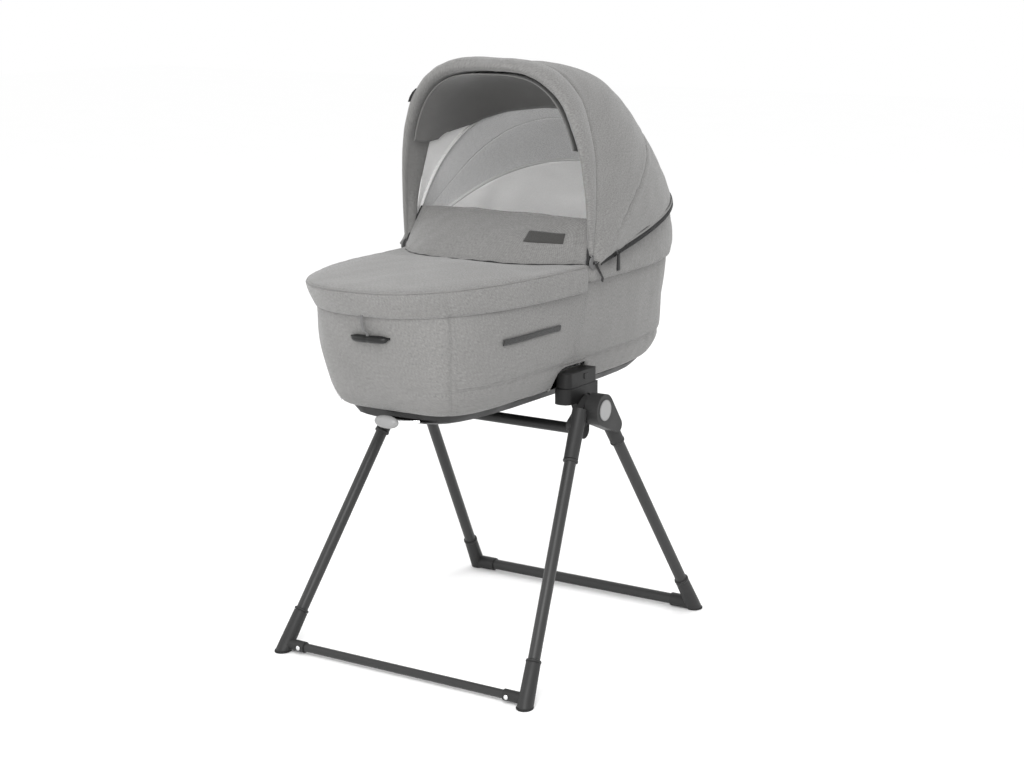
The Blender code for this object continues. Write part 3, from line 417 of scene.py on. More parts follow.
WARM, PALE = 0.012, 0.004
LOOKS, SLOTS = {}, {}
for slot, looks in {
    "shell_fabric": {
        "shell": cloth_look("shell_cloth", grey(119, WARM), spread=0.30, pitch=0.0021, bump=0.6, fleck=0.0019),
        "shell_edge": cloth_look("shell_cloth_edge", grey(117, WARM), spread=0.25, bump=0.4, coords="Object"),
        "elastic": cloth_look("elastic_webbing", grey(96), spread=0.15, pitch=0.0010, bump=0.5),
        "piping": cloth_look("piping_cloth", grey(112, WARM), spread=0.14, pitch=0.0010, bump=0.3, coords="Object"),
        "thread": cloth_look("thread_twist", grey(122, WARM), spread=0.1, pitch=0.0004, bump=0.3, coords="Object"),
    },
    "lining_fabric": {
        "lining": cloth_look("lining_cloth", grey(247, PALE), spread=0.05, pitch=0.0009, bump=0.2, sheen=0.1),
        "casing": cloth_look("casing_cloth", grey(196, PALE), spread=0.04, pitch=0.0008, bump=0.2, sheen=0.1),
        "mesh": mesh_look("air_mesh", grey(222), grey(160)),
    },
    "visor_fabric": {"visor": cloth_look("visor_cloth", grey(100, WARM), spread=0.10, pitch=0.0009, bump=0.25)},
    "mattress_fabric": {"mattress": cloth_look("mattress_cloth", grey(236), spread=0.04, pitch=0.0013, bump=0.3,
                                               sheen=0.15, coords="Object")},
    "trim_dark": {"dark_thread": cloth_look("dark_thread_twist", grey(48), spread=0.1, pitch=0.0004, bump=0.3,
                                            coords="Object")},
    "bar_paint": {
        "tape": cloth_look("tape_webbing", grey(46), spread=0.2, pitch=0.0012, bump=0.5),
        "zip_tape": cloth_look("zip_tape_webbing", grey(26), spread=0.2, pitch=0.0012, bump=0.5),
        "label": cloth_look("label_cloth", grey(62, 0.02), spread=0.1, pitch=0.0007, bump=0.3),
        "zip": plastic_look("zip_teeth", grey(24), 0.42),
        "bar": paint_look("bar_powder_coat", grey(34), 0.38),
    },
    "dark_plastic": {
        "dark": plastic_look("dark_moulding", grey(46), 0.5),
        "socket": plastic_look("socket_moulding", grey(24), 0.45),
        "grip": plastic_look("grip_moulding", grey(30), 0.45),
        "base": plastic_look("base_moulding", grey(36), 0.55, bump=0.25),
        "rubber": plastic_look("sole_rubber", grey(40), 0.8, bump=0.4),
    },
    "light_plastic": {
        "light": plastic_look("light_moulding", grey(146), 0.42, bump=0.06),
        "knob": plastic_look("knob_satin", grey(130), 0.3, bump=0.03),
    },
    "board_plastic": {"board": plastic_look("board_moulding", grey(98), 0.6)},
    "leg_paint": {"leg": paint_look("leg_powder_coat", grey(52))},
    "bright_metal": {"bright": metal_look("bright_metal_brushed", (0.78, 0.78, 0.79))},
}.items():
    LOOKS.update(looks)
    SLOTS.update(dict.fromkeys(looks, slot))


def placed(obj, body=None, stands_for=()):
    if body:
        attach(obj, body)
    if stands_for:
        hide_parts(*stands_for)
    return obj


def cord(name, path, radius, look, body, sides=10, stands_for=(), **shape):
    """A tube that rides on a body."""
    return placed(tube(name, path, radius, look, sides, **shape), body, stands_for)


# ---- Cot ----
def plan(half, foot, head, power, turns):
    """Points of the cot's outline, squarer than an ellipse; turn 0 is the right side and pi/2 the head end."""
    c, s = np.cos(turns), np.sin(turns)
    return np.stack([half * squared(c, power), squared(s, power) * np.where(s > 0, head, foot)], axis=-1)


def even_turns(count):
    """Angles that put points at even steps along the squared outline."""
    fine = np.linspace(0, 2 * math.pi, 6001)
    return even(plan(0.19, 0.42, 0.44, 3.0, fine), count, fine, endpoint=False)


def cot_row(z, turns, inset=0.0):
    half, foot, head, foot_power, head_power = table_at(COT_LEVELS, z)
    power = np.where(np.sin(turns) > 0, head_power, foot_power)
    return at_height(plan(half - inset, foot - inset, head - inset, power, turns), z)


def cot_rows(heights, insets, turns):
    return np.stack([cot_row(z, turns, i) for z, i in zip(heights, insets)])


ARCH_FOOT_R, ARCH_HEAD_R = 0.030, 0.012  # the arch's rounding on its two sides
ARCH_FOOT_GAP, ARCH_HEAD_GAP, ARCH_TOP_GAP = 0.004, 0.005, 0.010  # its distance from the clip


def arch_box():
    """The two sides and the top of the arch over the stand's clips."""
    low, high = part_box("clip_adapter_right")
    return low.y - ARCH_FOOT_GAP, high.y + ARCH_HEAD_GAP, high.z + ARCH_TOP_GAP


def near_arch(grid):
    """How far points are outside the arch, 0 on its edge and negative in it."""
    y0, y1, top = arch_box()
    y, z = grid[..., 1], grid[..., 2]
    side = np.maximum(y0 + ARCH_FOOT_R - y, y - (y1 - ARCH_HEAD_R))
    radius = np.where(y < (y0 + y1) / 2, ARCH_FOOT_R, ARCH_HEAD_R)
    return np.hypot(np.maximum(side, 0), np.maximum(z - (top - radius), 0)) - radius


# Height and Y of the corner seams
CORNER_SEAM = np.array(((0.500, -0.3300), (0.524, -0.3394), (0.560, -0.3500), (0.608, -0.3580), (0.700, -0.3645)))
SIDE_SEAM_Z = 0.5460
SEAM_DIP, SEAM_WIDTH = 0.0016, 0.0042
SHELL_FLOOR_Z, SHELL_FULL_HEIGHT, SHELL_SWELL = 0.50, 0.19, 0.0022


def seam_y(z):
    return np.interp(z, CORNER_SEAM[:, 0], CORNER_SEAM[:, 1])


def shell_swell(z):
    """How far the padded side stands out from its outline at a height."""
    return SHELL_SWELL * np.sin(np.clip((z - SHELL_FLOOR_Z) / SHELL_FULL_HEIGHT, 0, 1) * math.pi) ** 0.7


def level_normals(grid):
    """Outward unit directions of closed level rows, with no rise."""
    run = np.roll(grid, -1, axis=1) - np.roll(grid, 1, axis=1)
    n = unit(np.stack([run[..., 1], -run[..., 0], 0 * run[..., 0]], axis=-1))
    return n * np.sign((n * grid * (1, 1, 0)).sum(-1, keepdims=True))


def make_shell():
    """The padded side cloth, with its corner seams, its low side seams and the arches over the clips."""
    heights = np.concatenate([[0.4996, 0.4996, 0.5002, 0.5035], np.linspace(0.508, 0.7000, 60)])
    insets = np.concatenate([[0.022, 0.010, 0.0045, 0.0012], np.zeros(60)])
    grid = cot_rows(heights, insets, even_turns(360))
    x, y, z = np.moveaxis(grid, -1, 0)
    corner_line = np.where(np.abs(x) < 0.05, 1.0, np.abs(y - seam_y(z)))
    low_line = np.where(y > seam_y(z), np.abs(z - SIDE_SEAM_Z), 1.0)
    stand = shell_swell(z) + waves(grid, (0.0009, 0.13), (0.0004, 0.045), 3)
    stand -= SEAM_DIP * np.maximum(bump_at(corner_line, SEAM_WIDTH), bump_at(low_line, SEAM_WIDTH))
    for line, along in ((corner_line, z), (low_line, y)):
        stand += 0.0007 * bump_at(line - 0.012, 0.008) + 0.0005 * np.sin(along / 0.0065) * bump_at(line, 0.009)
    arch = near_arch(grid) + np.where(np.abs(x) < 0.1, 1.0, 0.0)
    stand += 0.0022 * bump_at(arch - 0.004, 0.004) - 0.001 * bump_at(arch - 0.011, 0.003)
    shell = cloth("shell_cover", grid + level_normals(grid) * stand[..., None], "shell", 0.0030, closed=True, out=-1)
    cut_arches(shell)
    placed(shell, "cot", ["side_shell"])
    zs = np.linspace(0.503, 0.684, 90)
    for side, tag in SIDES:
        for gap, row in ((-SEAM_WIDTH, "a"), (SEAM_WIDTH, "b")):
            sew(f"corner_stitch_{tag}_{row}", on_shell(zs, seam_y(zs) + gap, side, 0.0011), "cot")
        line = on_shell(np.full(160, SIDE_SEAM_Z + 0.0046), np.linspace(-0.338, 0.300, 160), side, 0.0013)
        sew(f"side_stitch_{tag}", line, "cot")
    line = resampled(np.pad(arch_outline(), ((0, 0), (0, 1))), 0.003)
    for side, tag in SIDES:
        path = on_shell(np.maximum(line[:, 1], 0.5005), line[:, 0], side, 0.0)
        cord(f"arch_binding_{tag}", path, 0.0021, "piping", "cot", up=(side, 0.02, 0.01))


def on_shell(z, y, side, out=0.0):
    """Points on the shell's side at these heights and lengths."""
    half, foot, head, foot_power, head_power = np.moveaxis(table_at(COT_LEVELS, z), -1, 0)
    end, power = np.where(y > 0, head, foot), np.where(y > 0, head_power, foot_power)
    x = half * (1 - np.minimum(1.0, np.abs(y) / end) ** power) ** (1 / power)
    return np.stack([(x + out + shell_swell(z)) * side, y, z], axis=1)


def arch_outline(count=28):
    """The arch's edge from its foot-side bottom over the top to its head-side bottom, as (Y, height)."""
    y0, y1, top = arch_box()
    line = [(y0, 0.499)]
    for a in np.linspace(0, math.pi / 2, count):
        line.append((y0 + ARCH_FOOT_R * (1 - math.cos(a)), top - ARCH_FOOT_R * (1 - math.sin(a))))
    for a in np.linspace(0, math.pi / 2, count // 2):
        line.append((y1 - ARCH_HEAD_R * (1 - math.sin(a)), top - ARCH_HEAD_R * (1 - math.cos(a))))
    return np.array(line + [(y1, 0.499)])


def cut_arches(obj):
    """Takes the arches over the clips out of a cover."""
    line = arch_outline()
    line = np.concatenate([line, [(line[-1, 0], 0.47), (line[0, 0], 0.47)]])
    points = [(x, y, z) for x in (-0.30, 0.30) for y, z in line]
    cutter = new_object("arch_cutter", points, solid_faces(2, len(line)), "shell", smooth=False)
    cut = obj.modifiers.new("arch", "BOOLEAN")
    cut.object, cut.operation, cut.solver = cutter, "DIFFERENCE", "EXACT"
    baked(obj)
    bpy.data.objects.remove(cutter)


def half_ring(z, half, end, power, start_y, count, ahead):
    """The outline from the right side round the foot (or head) end to the left side."""
    sign = -1 if ahead else 1
    limit = math.acos((max(0.0, sign * start_y) / end) ** (power / 2))

    def outline(turns):
        return np.stack([half * squared(np.sin(turns), power), sign * end * squared(np.cos(turns), power)], axis=1)
    fine = np.linspace(-limit, limit, 4001)
    return at_height(outline(even(outline(fine), count, fine)), z)


BAND_START_Y, BAND_COLS = -0.018, 241
BAND_SWELL = 0.0022
BAND_SEAM_Y = -0.3655  # where the corner seams carry on over the band


def band_rings():
    """The foot band's lower edge and its seam."""
    return (half_ring(*row, BAND_START_Y, BAND_COLS, True) for row in (BAND_EDGE, BAND_SEAM))


def make_foot_band():
    """The padded band round the foot cover, tucked in at its lower edge."""
    low, high = band_rings()
    out = np.gradient((low + high) / 2, axis=0)
    n = unit(np.stack([out[:, 1], -out[:, 0], np.zeros(len(out))], axis=1))
    middle = len(n) // 2
    n *= np.sign(n[middle] @ (low[middle] * (1, 1, 0)))
    up = np.array((0, 0, 1.0))
    run = run_lengths(low)
    rows = [low + n * back + up * rise
            for back, rise in ((-0.0075, 0.010), (-0.0070, 0.003), (-0.0045, 0.0002), (-0.0015, -0.0006))]
    for s in np.linspace(0, 1, 13):
        row = low + (high - low) * s
        stand = BAND_SWELL * math.sin(math.pi * s) ** 0.8 + waves(row, (0.0006, 0.11), (0.0004, 0.03), 7)
        stand += 0.00045 * np.sin(run / 0.0045) * (1 - s) ** 3
        rows.append(row + n * stand[:, None])
    ends = np.minimum(run, run[-1] - run)
    across = np.abs(low[:, 1] - BAND_SEAM_Y)
    sunk = 0.004 * np.exp(-ends / 0.006) + 0.0016 * bump_at(across, 0.0035) - 0.0006 * bump_at(across - 0.010, 0.006)
    grid = np.stack(rows) - (n * sunk[:, None])[None]
    placed(cloth("foot_band", grid, "shell", 0.0028), "cot", ["apron_cover"])
    sew("foot_band_stitch", low + n * 0.0022 + up * 0.0045, "cot")
    cord("foot_cover_piping", high + n * 0.0004 + up * 0.0012, 0.0017, "piping", "cot")


DOME_RISE = 0.024
DOME_ROWS = 46
DOME_FROM_Y = -0.095  # the cover starts to rise in front of the wind flap's seam


def dome_point(ring, share):
    """A row of the foot cover's top panel, drawn in towards the middle of its open end."""
    y = BAND_START_Y + (ring[:, 1] - BAND_START_Y) * share
    level = smooth_step((DOME_FROM_Y - y) / 0.16)
    lift = 0.00312 * np.clip((1 - share) / 0.05, 0, 1) ** 0.5
    z = ring[:, 2] + lift + DOME_RISE * (1 - share ** 2.6) * (0.20 + 0.80 * level)
    return np.stack([ring[:, 0] * share, y, z], axis=1)


def make_foot_top():
    _, ring = band_rings()
    shares = 1 - np.linspace(0, 1, DOME_ROWS) ** 1.15 * 0.985
    grid = np.stack([dome_point(ring, s) for s in shares])
    inner = 1 - shares[:, None]
    grid[..., 2] += (waves(grid, (0.0011, 0.16), (0.0005, 0.05), 11) * smooth_step(inner / 0.10)
                     + 0.0005 * np.sin(run_lengths(ring) / 0.0075)[None] * np.exp(-inner / 0.03))
    placed(cloth("foot_cover_top", grid, "shell", flat_uv=True), "cot")
    sew("foot_cover_stitch", dome_point(ring, 0.978) + (0, 0, 0.0008), "cot")


HEAD_BAND = np.array((
    # height at the side, rise to the head end, half-width, reach to the head end
    (0.7060, 0.000, 0.1960, 0.4510),
    (0.7010, 0.000, 0.1990, 0.4565),
    (0.6995, 0.000, 0.2035, 0.4610),
    (0.7030, 0.006, 0.2075, 0.4660),
    (0.7100, 0.018, 0.2100, 0.4705),
    (0.7180, 0.035, 0.2110, 0.4680),
    (0.7250, 0.056, 0.2105, 0.4565),
    (0.7295, 0.076, 0.2090, 0.4540),
    (0.7305, 0.086, 0.2060, 0.4560),
))
HEAD_BAND_POWER = 2.85
HEAD_BAND_START_Y, HIDDEN_HALF, LEAD_COUNT = -0.034, 0.1995, 17  # its ends tuck in behind the foot cover's band


def make_head_band():
    """The puffed band round the head end below the zip, from one of the hood's pivots to the other."""
    lead = np.linspace(HEAD_BAND_START_Y, 0, LEAD_COUNT + 1)[:-1]
    rows = []
    for z, rise, half, head in HEAD_BAND:
        ring = half_ring(0, half, head, HEAD_BAND_POWER, 0.0, 261, False)
        wide = HIDDEN_HALF + (half - HIDDEN_HALF) * smooth_step(1 - lead / HEAD_BAND_START_Y)
        right = np.stack([wide, lead, np.zeros(LEAD_COUNT)], axis=1)
        left = right * (-1, 1, 1)
        first, last = (right, left[::-1]) if ring[0, 0] > 0 else (left, right[::-1])
        ring = np.concatenate([first, ring, last])
        ring[:, 2] = z + rise * np.clip(ring[:, 1], 0, None) / head
        rows.append(ring)
    corner = np.stack(rows)
    fine = []
    for a in np.linspace(0, len(corner) - 1, 26):
        k = min(int(a), len(corner) - 2)
        t = a - k
        p = [corner[max(0, min(len(corner) - 1, k + d))] for d in (-1, 0, 1, 2)]
        fine.append(0.5 * (2 * p[1] + (p[2] - p[0]) * t + (2 * p[0] - 5 * p[1] + 4 * p[2] - p[3]) * t * t
                           + (3 * p[1] - p[0] - 3 * p[2] + p[3]) * t ** 3))
    grid = np.stack(fine)
    n = normals_of(grid)
    n *= np.sign((n * (grid * (1, 1, 0))).sum(-1, keepdims=True))
    grid = grid + n * waves(grid, (0.0009, 0.07), (0.0005, 0.025), 21)[..., None]
    placed(cloth("head_band_cover", grid, "shell", 0.0026), "cot", ["head_band"])
    sew("head_band_stitch", grid[4] + n[4] * 0.0008, "cot")


GRIP_R = 0.0078
GRIP_SHIFT = 0.0045  # the grip sits this much to the left of the CAD hook and higher


def make_trim():
    """The moulded grip on the foot end, its elastic loop, and the dark side tapes."""
    low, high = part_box("foot_hook")
    half = (high.x - low.x) / 2 * 0.95
    middle, mid = (low.x + high.x) / 2 - GRIP_SHIFT, (low.z + high.z) / 2 + GRIP_SHIFT
    xs = np.linspace(-1, 1, 61)
    path = np.stack([middle + xs * half, low.y + 0.0072 + 0.0050 * xs ** 2, mid + 0.0010 * xs], axis=1)
    rounds = GRIP_R * np.clip(1 - np.abs(xs) ** 9, 0.12, 1) * (1 - 0.10 * bump_at(xs, 0.11))
    cord("foot_grip", path, rounds, "grip", "cot", 20, ["foot_hook"], flat=0.85)
    cord("foot_grip_plate", path + (0, 0.0075, 0.0016), GRIP_R * 1.12, "socket", "cot", 14, flat=0.28)
    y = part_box("elastic_loop")[0].y
    drop = np.array([(middle, y + back, z)
                     for back, z in ((0.008, 0.690), (0.002, 0.684), (0.003, 0.672), (0.008, 0.658))]
                    + [(middle, low.y + 0.0035, mid + GRIP_R + 0.004), (middle, low.y + 0.0050, mid + GRIP_R * 0.6)])
    cord("elastic_strap", resampled(drop, 0.002), 0.0030, "elastic", "cot", 12, ["elastic_loop"], up=(0, 1, 0.15),
         flat=0.26)
    for side, tag in SIDES:
        a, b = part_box(f"side_tape_{tag}")
        ys = np.linspace(a.y, b.y, 90)
        rows = [on_shell(z + 0.0006 * np.sin(ys / 0.03), ys, side, proud)
                for z, proud in zip(np.linspace(a.z, b.z, 7), (0.0010, *[0.0019] * 5, 0.0010))]
        placed(cloth(f"side_webbing_{tag}", np.stack(rows), "tape", 0.0016, out=side), "cot",
               [f"side_tape_{tag}"])
        for z in (a.z + 0.0018, b.z - 0.0018):
            line = on_shell(np.full(90, z), ys, side, 0.0022)
            sew(f"webbing_stitch_{tag}_a", line, "cot", "dark_thread")


def make_lining_wall():
    """The white cloth inside the cot, from under the rim down to the floor."""
    turns = even_turns(220)
    heights = np.concatenate([np.linspace(0.7045, 0.520, 40), [0.5160, 0.5138, 0.5130, 0.5128]])
    insets = np.concatenate([np.full(40, 0.0102), [0.0115, 0.016, 0.030, 0.060]])
    grid = cot_rows(heights, insets, turns)
    sunk = 0.0016 + waves(grid, (0.0010, 0.10), (0.0006, 0.035), 31)
    grid = grid - level_normals(grid) * sunk[..., None] * smooth_step((grid[..., 2:] - 0.5128) / 0.01)
    wall = cloth("cot_lining", grid, "lining", 0.0016, closed=True)
    cut_arches(wall)
    placed(wall, "cot", ["inner_lining"])
    plate = cot_rows([0.5122] * 8, np.linspace(0.050, 0.150, 8), turns)
    placed(cloth("cot_floor_cloth", plate, "lining", 0.0012, closed=True, flat_uv=True), "cot")


# ---- Hood ----
def hood_row(angle, turns, drop=0.0):
    """One polar section of the hood in a plane through its axis; drop is how far inside the cloth."""
    angle = np.broadcast_to(np.asarray(angle, float), np.shape(turns))
    half, reach, power = table_at(HOOD_SECTIONS, angle).T
    out = (reach - drop) * np.abs(np.sin(turns)) ** (2 / power)
    lean = np.radians(angle)
    return HOOD_AXIS + np.stack([(half - drop) * squared(np.cos(turns), power), out * np.cos(lean), out * np.sin(lean)],
                                axis=1)


TYPICAL_HALF, TYPICAL_REACH, TYPICAL_POWER = 0.213, 0.37, 3.2


def hood_turns(count, start):
    """Section angles at even steps over the hood, starting this far from its axis."""
    first = math.asin((start / TYPICAL_REACH) ** (TYPICAL_POWER / 2))
    fine = np.linspace(first, math.pi - first, 4001)
    return even(np.stack([TYPICAL_HALF * squared(np.cos(fine), TYPICAL_POWER),
                          TYPICAL_REACH * squared(np.sin(fine), TYPICAL_POWER)], axis=1), count, fine)


def hood_way(angle):
    """The direction square to the hood's axis at an angle above +Y."""
    return np.array((0, math.cos(math.radians(angle)), math.sin(math.radians(angle))))


def from_axis(points):
    """How far points are from the hood's axis."""
    return np.hypot(points[..., 1] - HOOD_AXIS[1], points[..., 2] - HOOD_AXIS[2])


REAR_BEND = ("cot", "hood_middle", 13.0, SEAM_TWO)
FRONT_BEND = ("hood_middle", "hood_front", SEAM_TWO, SEAM_ONE)


def bent(obj, stands_for=()):
    """Places a hood piece as it is in world space, on no body, and hides the nodes it stands for."""
    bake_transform(obj)
    placed(obj, None, stands_for)


def hood_cloth(name, low, high, rows, cols, look, thick=0.0024, drop=0.0, start=0.012, shape=None, seams=()):
    """A hood panel between two angles, or two curves of the section's turn. shape() says how far it stands out."""
    turns = hood_turns(cols, start)
    low, high = (edge(turns) if callable(edge) else np.full(cols, edge) for edge in (low, high))
    angles = np.linspace(low, high, rows)
    grid = np.stack([hood_row(a, turns, drop) for a in angles])
    n = normals_of(grid, away_from=HOOD_AXIS)
    stand = np.zeros(grid.shape[:2])
    near = from_axis(grid)
    for seam in seams:
        away = np.radians(np.abs(angles - seam)) * np.maximum(near, 0.03)
        stand += (0.0008 * bump_at(away - 0.011, 0.006) - 0.0017 * bump_at(away, 0.0042)
                  + 0.00055 * np.sin(run_lengths(grid[:1], 1) / 0.0062) * bump_at(away - 0.004, 0.007))
    if shape is not None:
        stand += shape(angles, turns[None], grid)
    grid = grid + n * (stand * np.clip(near / 0.05, 0, 1))[..., None]
    return cloth(name, grid, look, thick, out=1 if drop == 0 else -1), grid, n


def stretched_between(low, high, sag):
    """Cloth sinks a little between two bows, least at the sides where the panels are sewn close."""
    def shape(angle, turn, grid):
        t = np.clip((angle - low) / (high - low), 0, 1)
        return waves(grid, (0.0010, 0.14), (0.0005, 0.05), 41) - sag * np.sin(math.pi * t) ** 1.3 * np.sin(turn) ** 1.5
    return shape


HOOD_COLS = 181
PIVOT_START = 0.004  # the panels close round the pivot
REAR_SAG, MIDDLE_SAG = 0.0035, 0.0025


def make_hood_covers():
    """The hood's two cloth panels, each sewn to the next on a piped seam over a bow."""
    lines = []
    for name, low, high, rows, sag, seams, bend, nodes, row in (
            ("hood_rear_cloth", HOOD_EDGE, SEAM_TWO, 44, REAR_SAG, (SEAM_TWO,), REAR_BEND, ["hood_rear_panel"], -4),
            ("hood_middle_cloth", SEAM_TWO, SEAM_ONE, 66, MIDDLE_SAG, (SEAM_TWO, SEAM_ONE), FRONT_BEND,
             ["hood_middle_panel", "hood_front_panel"], -3)):
        panel, grid, n = hood_cloth(name, low, high, rows, HOOD_COLS, "shell", start=PIVOT_START,
                                    shape=stretched_between(low, high, sag), seams=seams)
        bent(panel, nodes)
        lines.append((grid[row] + n[row] * 0.0006)[3:-3])
    seams = (("hood_seam_two", SEAM_TWO, "hood_middle"), ("hood_seam_one", SEAM_ONE, "hood_front"))
    for line, (name, _, body) in zip(lines, seams):
        sew(name + "_stitch", line, body)
    for name, angle, body in seams:
        cord(name + "_piping", hood_row(angle, hood_turns(HOOD_COLS, 0.030), 0.0006), 0.0011, "piping", body, 8,
             up=hood_way(angle + 90))


# The padded front band's section: angle and how far it stands out from the seam's size
ROLL = np.array((
    (84.5, 0.0000), (85.6, 0.0032), (87.2, 0.0066), (89.2, 0.0086), (91.5, 0.0094), (93.4, 0.0088), (94.7, 0.0066),
    (95.4, 0.0034), (95.7, 0.0000), (95.5, -0.0038), (94.9, -0.0068), (93.8, -0.0090), (92.0, -0.0106), (89.0, -0.0120),
    (85.0, -0.0128), (81.0, -0.0130), (77.0, -0.0132),
))
ROLL_AT_SIDES = 0.2  # the roll thins towards the pivots


def make_front_band():
    """The padded roll round the hood's mouth, turned in to the lining."""
    turns = hood_turns(HOOD_COLS, 0.014)
    at = np.linspace(0, len(ROLL) - 1, 49)
    section = np.stack([np.interp(at, np.arange(len(ROLL)), column) for column in ROLL.T], axis=1)
    for _ in range(2):
        section[1:-1] = 0.25 * section[:-2] + 0.5 * section[1:-1] + 0.25 * section[2:]
    thin = ROLL_AT_SIDES + (1 - ROLL_AT_SIDES) * np.sin(turns)
    inner = smooth_step((np.linspace(0, 1, len(section)) - 0.70) / 0.30)
    grid = np.stack([hood_row(min(a, 96.0), turns, -d * (thin + (1 - thin) * w))
                     for (a, d), w in zip(section, inner)])
    n = normals_of(grid)
    n *= np.sign((n[:20] * (grid[:20] - grid.mean(axis=0, keepdims=True))).sum(-1).mean())
    stand = waves(grid, (0.0007, 0.09), (0.0004, 0.03), 51)
    grid = grid + n * (stand * np.clip(from_axis(grid) / 0.06, 0, 1))[..., None]
    placed(cloth("hood_front_roll", grid, "shell", 0.0026), "hood_front", ["hood_front_band"])
    sew("hood_roll_stitch", (grid[6] + n[6] * 0.0005)[4:-4], "hood_front")


LINING_DROP, REAR_DROP = 0.0135, 0.0165
LINING_LOW = -3.5
CASING_R = 0.0036


def rib_front(turns):
    """The front casing's angle: it arches back from the pivots to the top."""
    return 48.0 + 16.0 * (1 - np.sin(turns)) ** 1.4


def rib_rear(turns):
    return 19.0 + 5.0 * (1 - np.sin(turns)) ** 0.7


def facing_edge(turns):
    """Where the lining meets the front roll's facing, further back at the sides."""
    return 77.5 + 6.5 * smooth_step((np.sin(turns) - 0.40) / 0.35)


def make_hood_linings():
    """The white lining behind and in front, the mesh window between them, and the bows' two casings."""
    for name, low, high, rows, look, thick, drop, start, height, size, seed, bend, nodes in (
            ("hood_lining_rear", LINING_LOW, rib_rear, 22, "lining", 0.0016, REAR_DROP, 0.05, 0.0010, 0.10, 61,
             REAR_BEND, []),
            ("hood_mesh_rear", rib_rear, SEAM_TWO, 26, "mesh", 0.0012, LINING_DROP, 0.04, 0.0012, 0.12, 62,
             REAR_BEND, []),
            ("hood_mesh_middle", SEAM_TWO, rib_front, 30, "mesh", 0.0012, LINING_DROP, 0.04, 0.0012, 0.12, 62,
             FRONT_BEND, ["hood_lining"]),
            ("hood_lining_front", rib_front, facing_edge, 30, "lining", 0.0016, LINING_DROP, 0.03, 0.0010, 0.10, 63,
             FRONT_BEND, [])):
        panel, _, _ = hood_cloth(name, low, high, rows, 141, look, thick, drop, start,
                                 lambda a, t, grid: height * ripple(grid, size, seed))
        bent(panel, nodes)
    turns = hood_turns(161, 0.035)
    for tag, rib, bend in (("rear", rib_rear, REAR_BEND), ("front", rib_front, FRONT_BEND)):
        line = hood_row(rib(turns), turns, LINING_DROP + 0.0022)
        bent(tube(f"bow_casing_{tag}", line, CASING_R, "casing", 14, up=(0, -0.6, 0.8), flat=0.9))


VISOR_COLS, VISOR_ROWS = 121, 34
VISOR_START = 0.208  # how far from the hood's axis the visor starts
VISOR_SEAM = 94.2
VISOR_EDGE = np.array((  # share of the way over the hood from its side, angle of the free edge
    (0.00, 77.0), (0.066, 66.0), (0.13, 60.0), (0.20, 55.0), (0.40, 49.0), (0.62, 45.0), (1.00, 44.0)))


def make_visor():
    """The dark sun visor that lies under the hood's front, deep in the middle and short at the sides."""
    turns = hood_turns(401, 0.012)
    first = int(np.argmax(from_axis(hood_row(80.0, turns, LINING_DROP)) > VISOR_START))
    picked = turns[np.linspace(first, 400 - first, VISOR_COLS).round().astype(int)]
    free = np.interp(1 - np.abs(np.linspace(-1, 1, VISOR_COLS)), *VISOR_EDGE.T)
    free = np.convolve(np.pad(free, 4, mode="edge"), np.ones(9) / 9, "valid")
    rows = []
    for s in np.linspace(0, 1, VISOR_ROWS):
        below = 0.0032 + 0.0075 * float(smooth_step((1 - s) / 0.5)) + 0.0006 * math.sin(9 * s)
        rows.append(hood_row(free + (VISOR_SEAM - free) * s, picked, LINING_DROP + below))
    bent(cloth("sun_visor", np.stack(rows), "visor", 0.0018, out=-1), ["visor_panel"])
    bent(tube("sun_visor_hem", rows[0], 0.0014, "visor", 8, up=(0, 1, 0.2)))


def make_rim_tag():
    """A small folded tag of webbing in the rim's seam on the left."""
    path = np.array([(-0.160, -0.036, 1.0350), (-0.1665, -0.037, 1.0290), (-0.1725, -0.037, 1.0205),
                     (-0.177, -0.036, 1.0110)])
    cord("rim_tag", resampled(path, 0.002), 0.0046, "tape", "hood_front", up=(-0.75, 0, 0.65), flat=0.35)


# ---- Zip ----
ZIP_LINE_ANGLE = 10.4
ZIP_WAY = hood_way(ZIP_LINE_ANGLE + 90)
TAPE_ROWS = (-0.0052, -0.0026, 0.0, 0.0026, 0.0052)
TOOTH_PITCH, TOOTH_SHIFT = 0.0026, 0.0011
TOOTH_HALF = (0.0009, 0.0024, 0.0008)  # along the zip, across it and outward
BOX_FACES = ((0, 1, 3, 2), (4, 6, 7, 5), (0, 4, 5, 1), (2, 3, 7, 6), (0, 2, 6, 4), (1, 5, 7, 3))


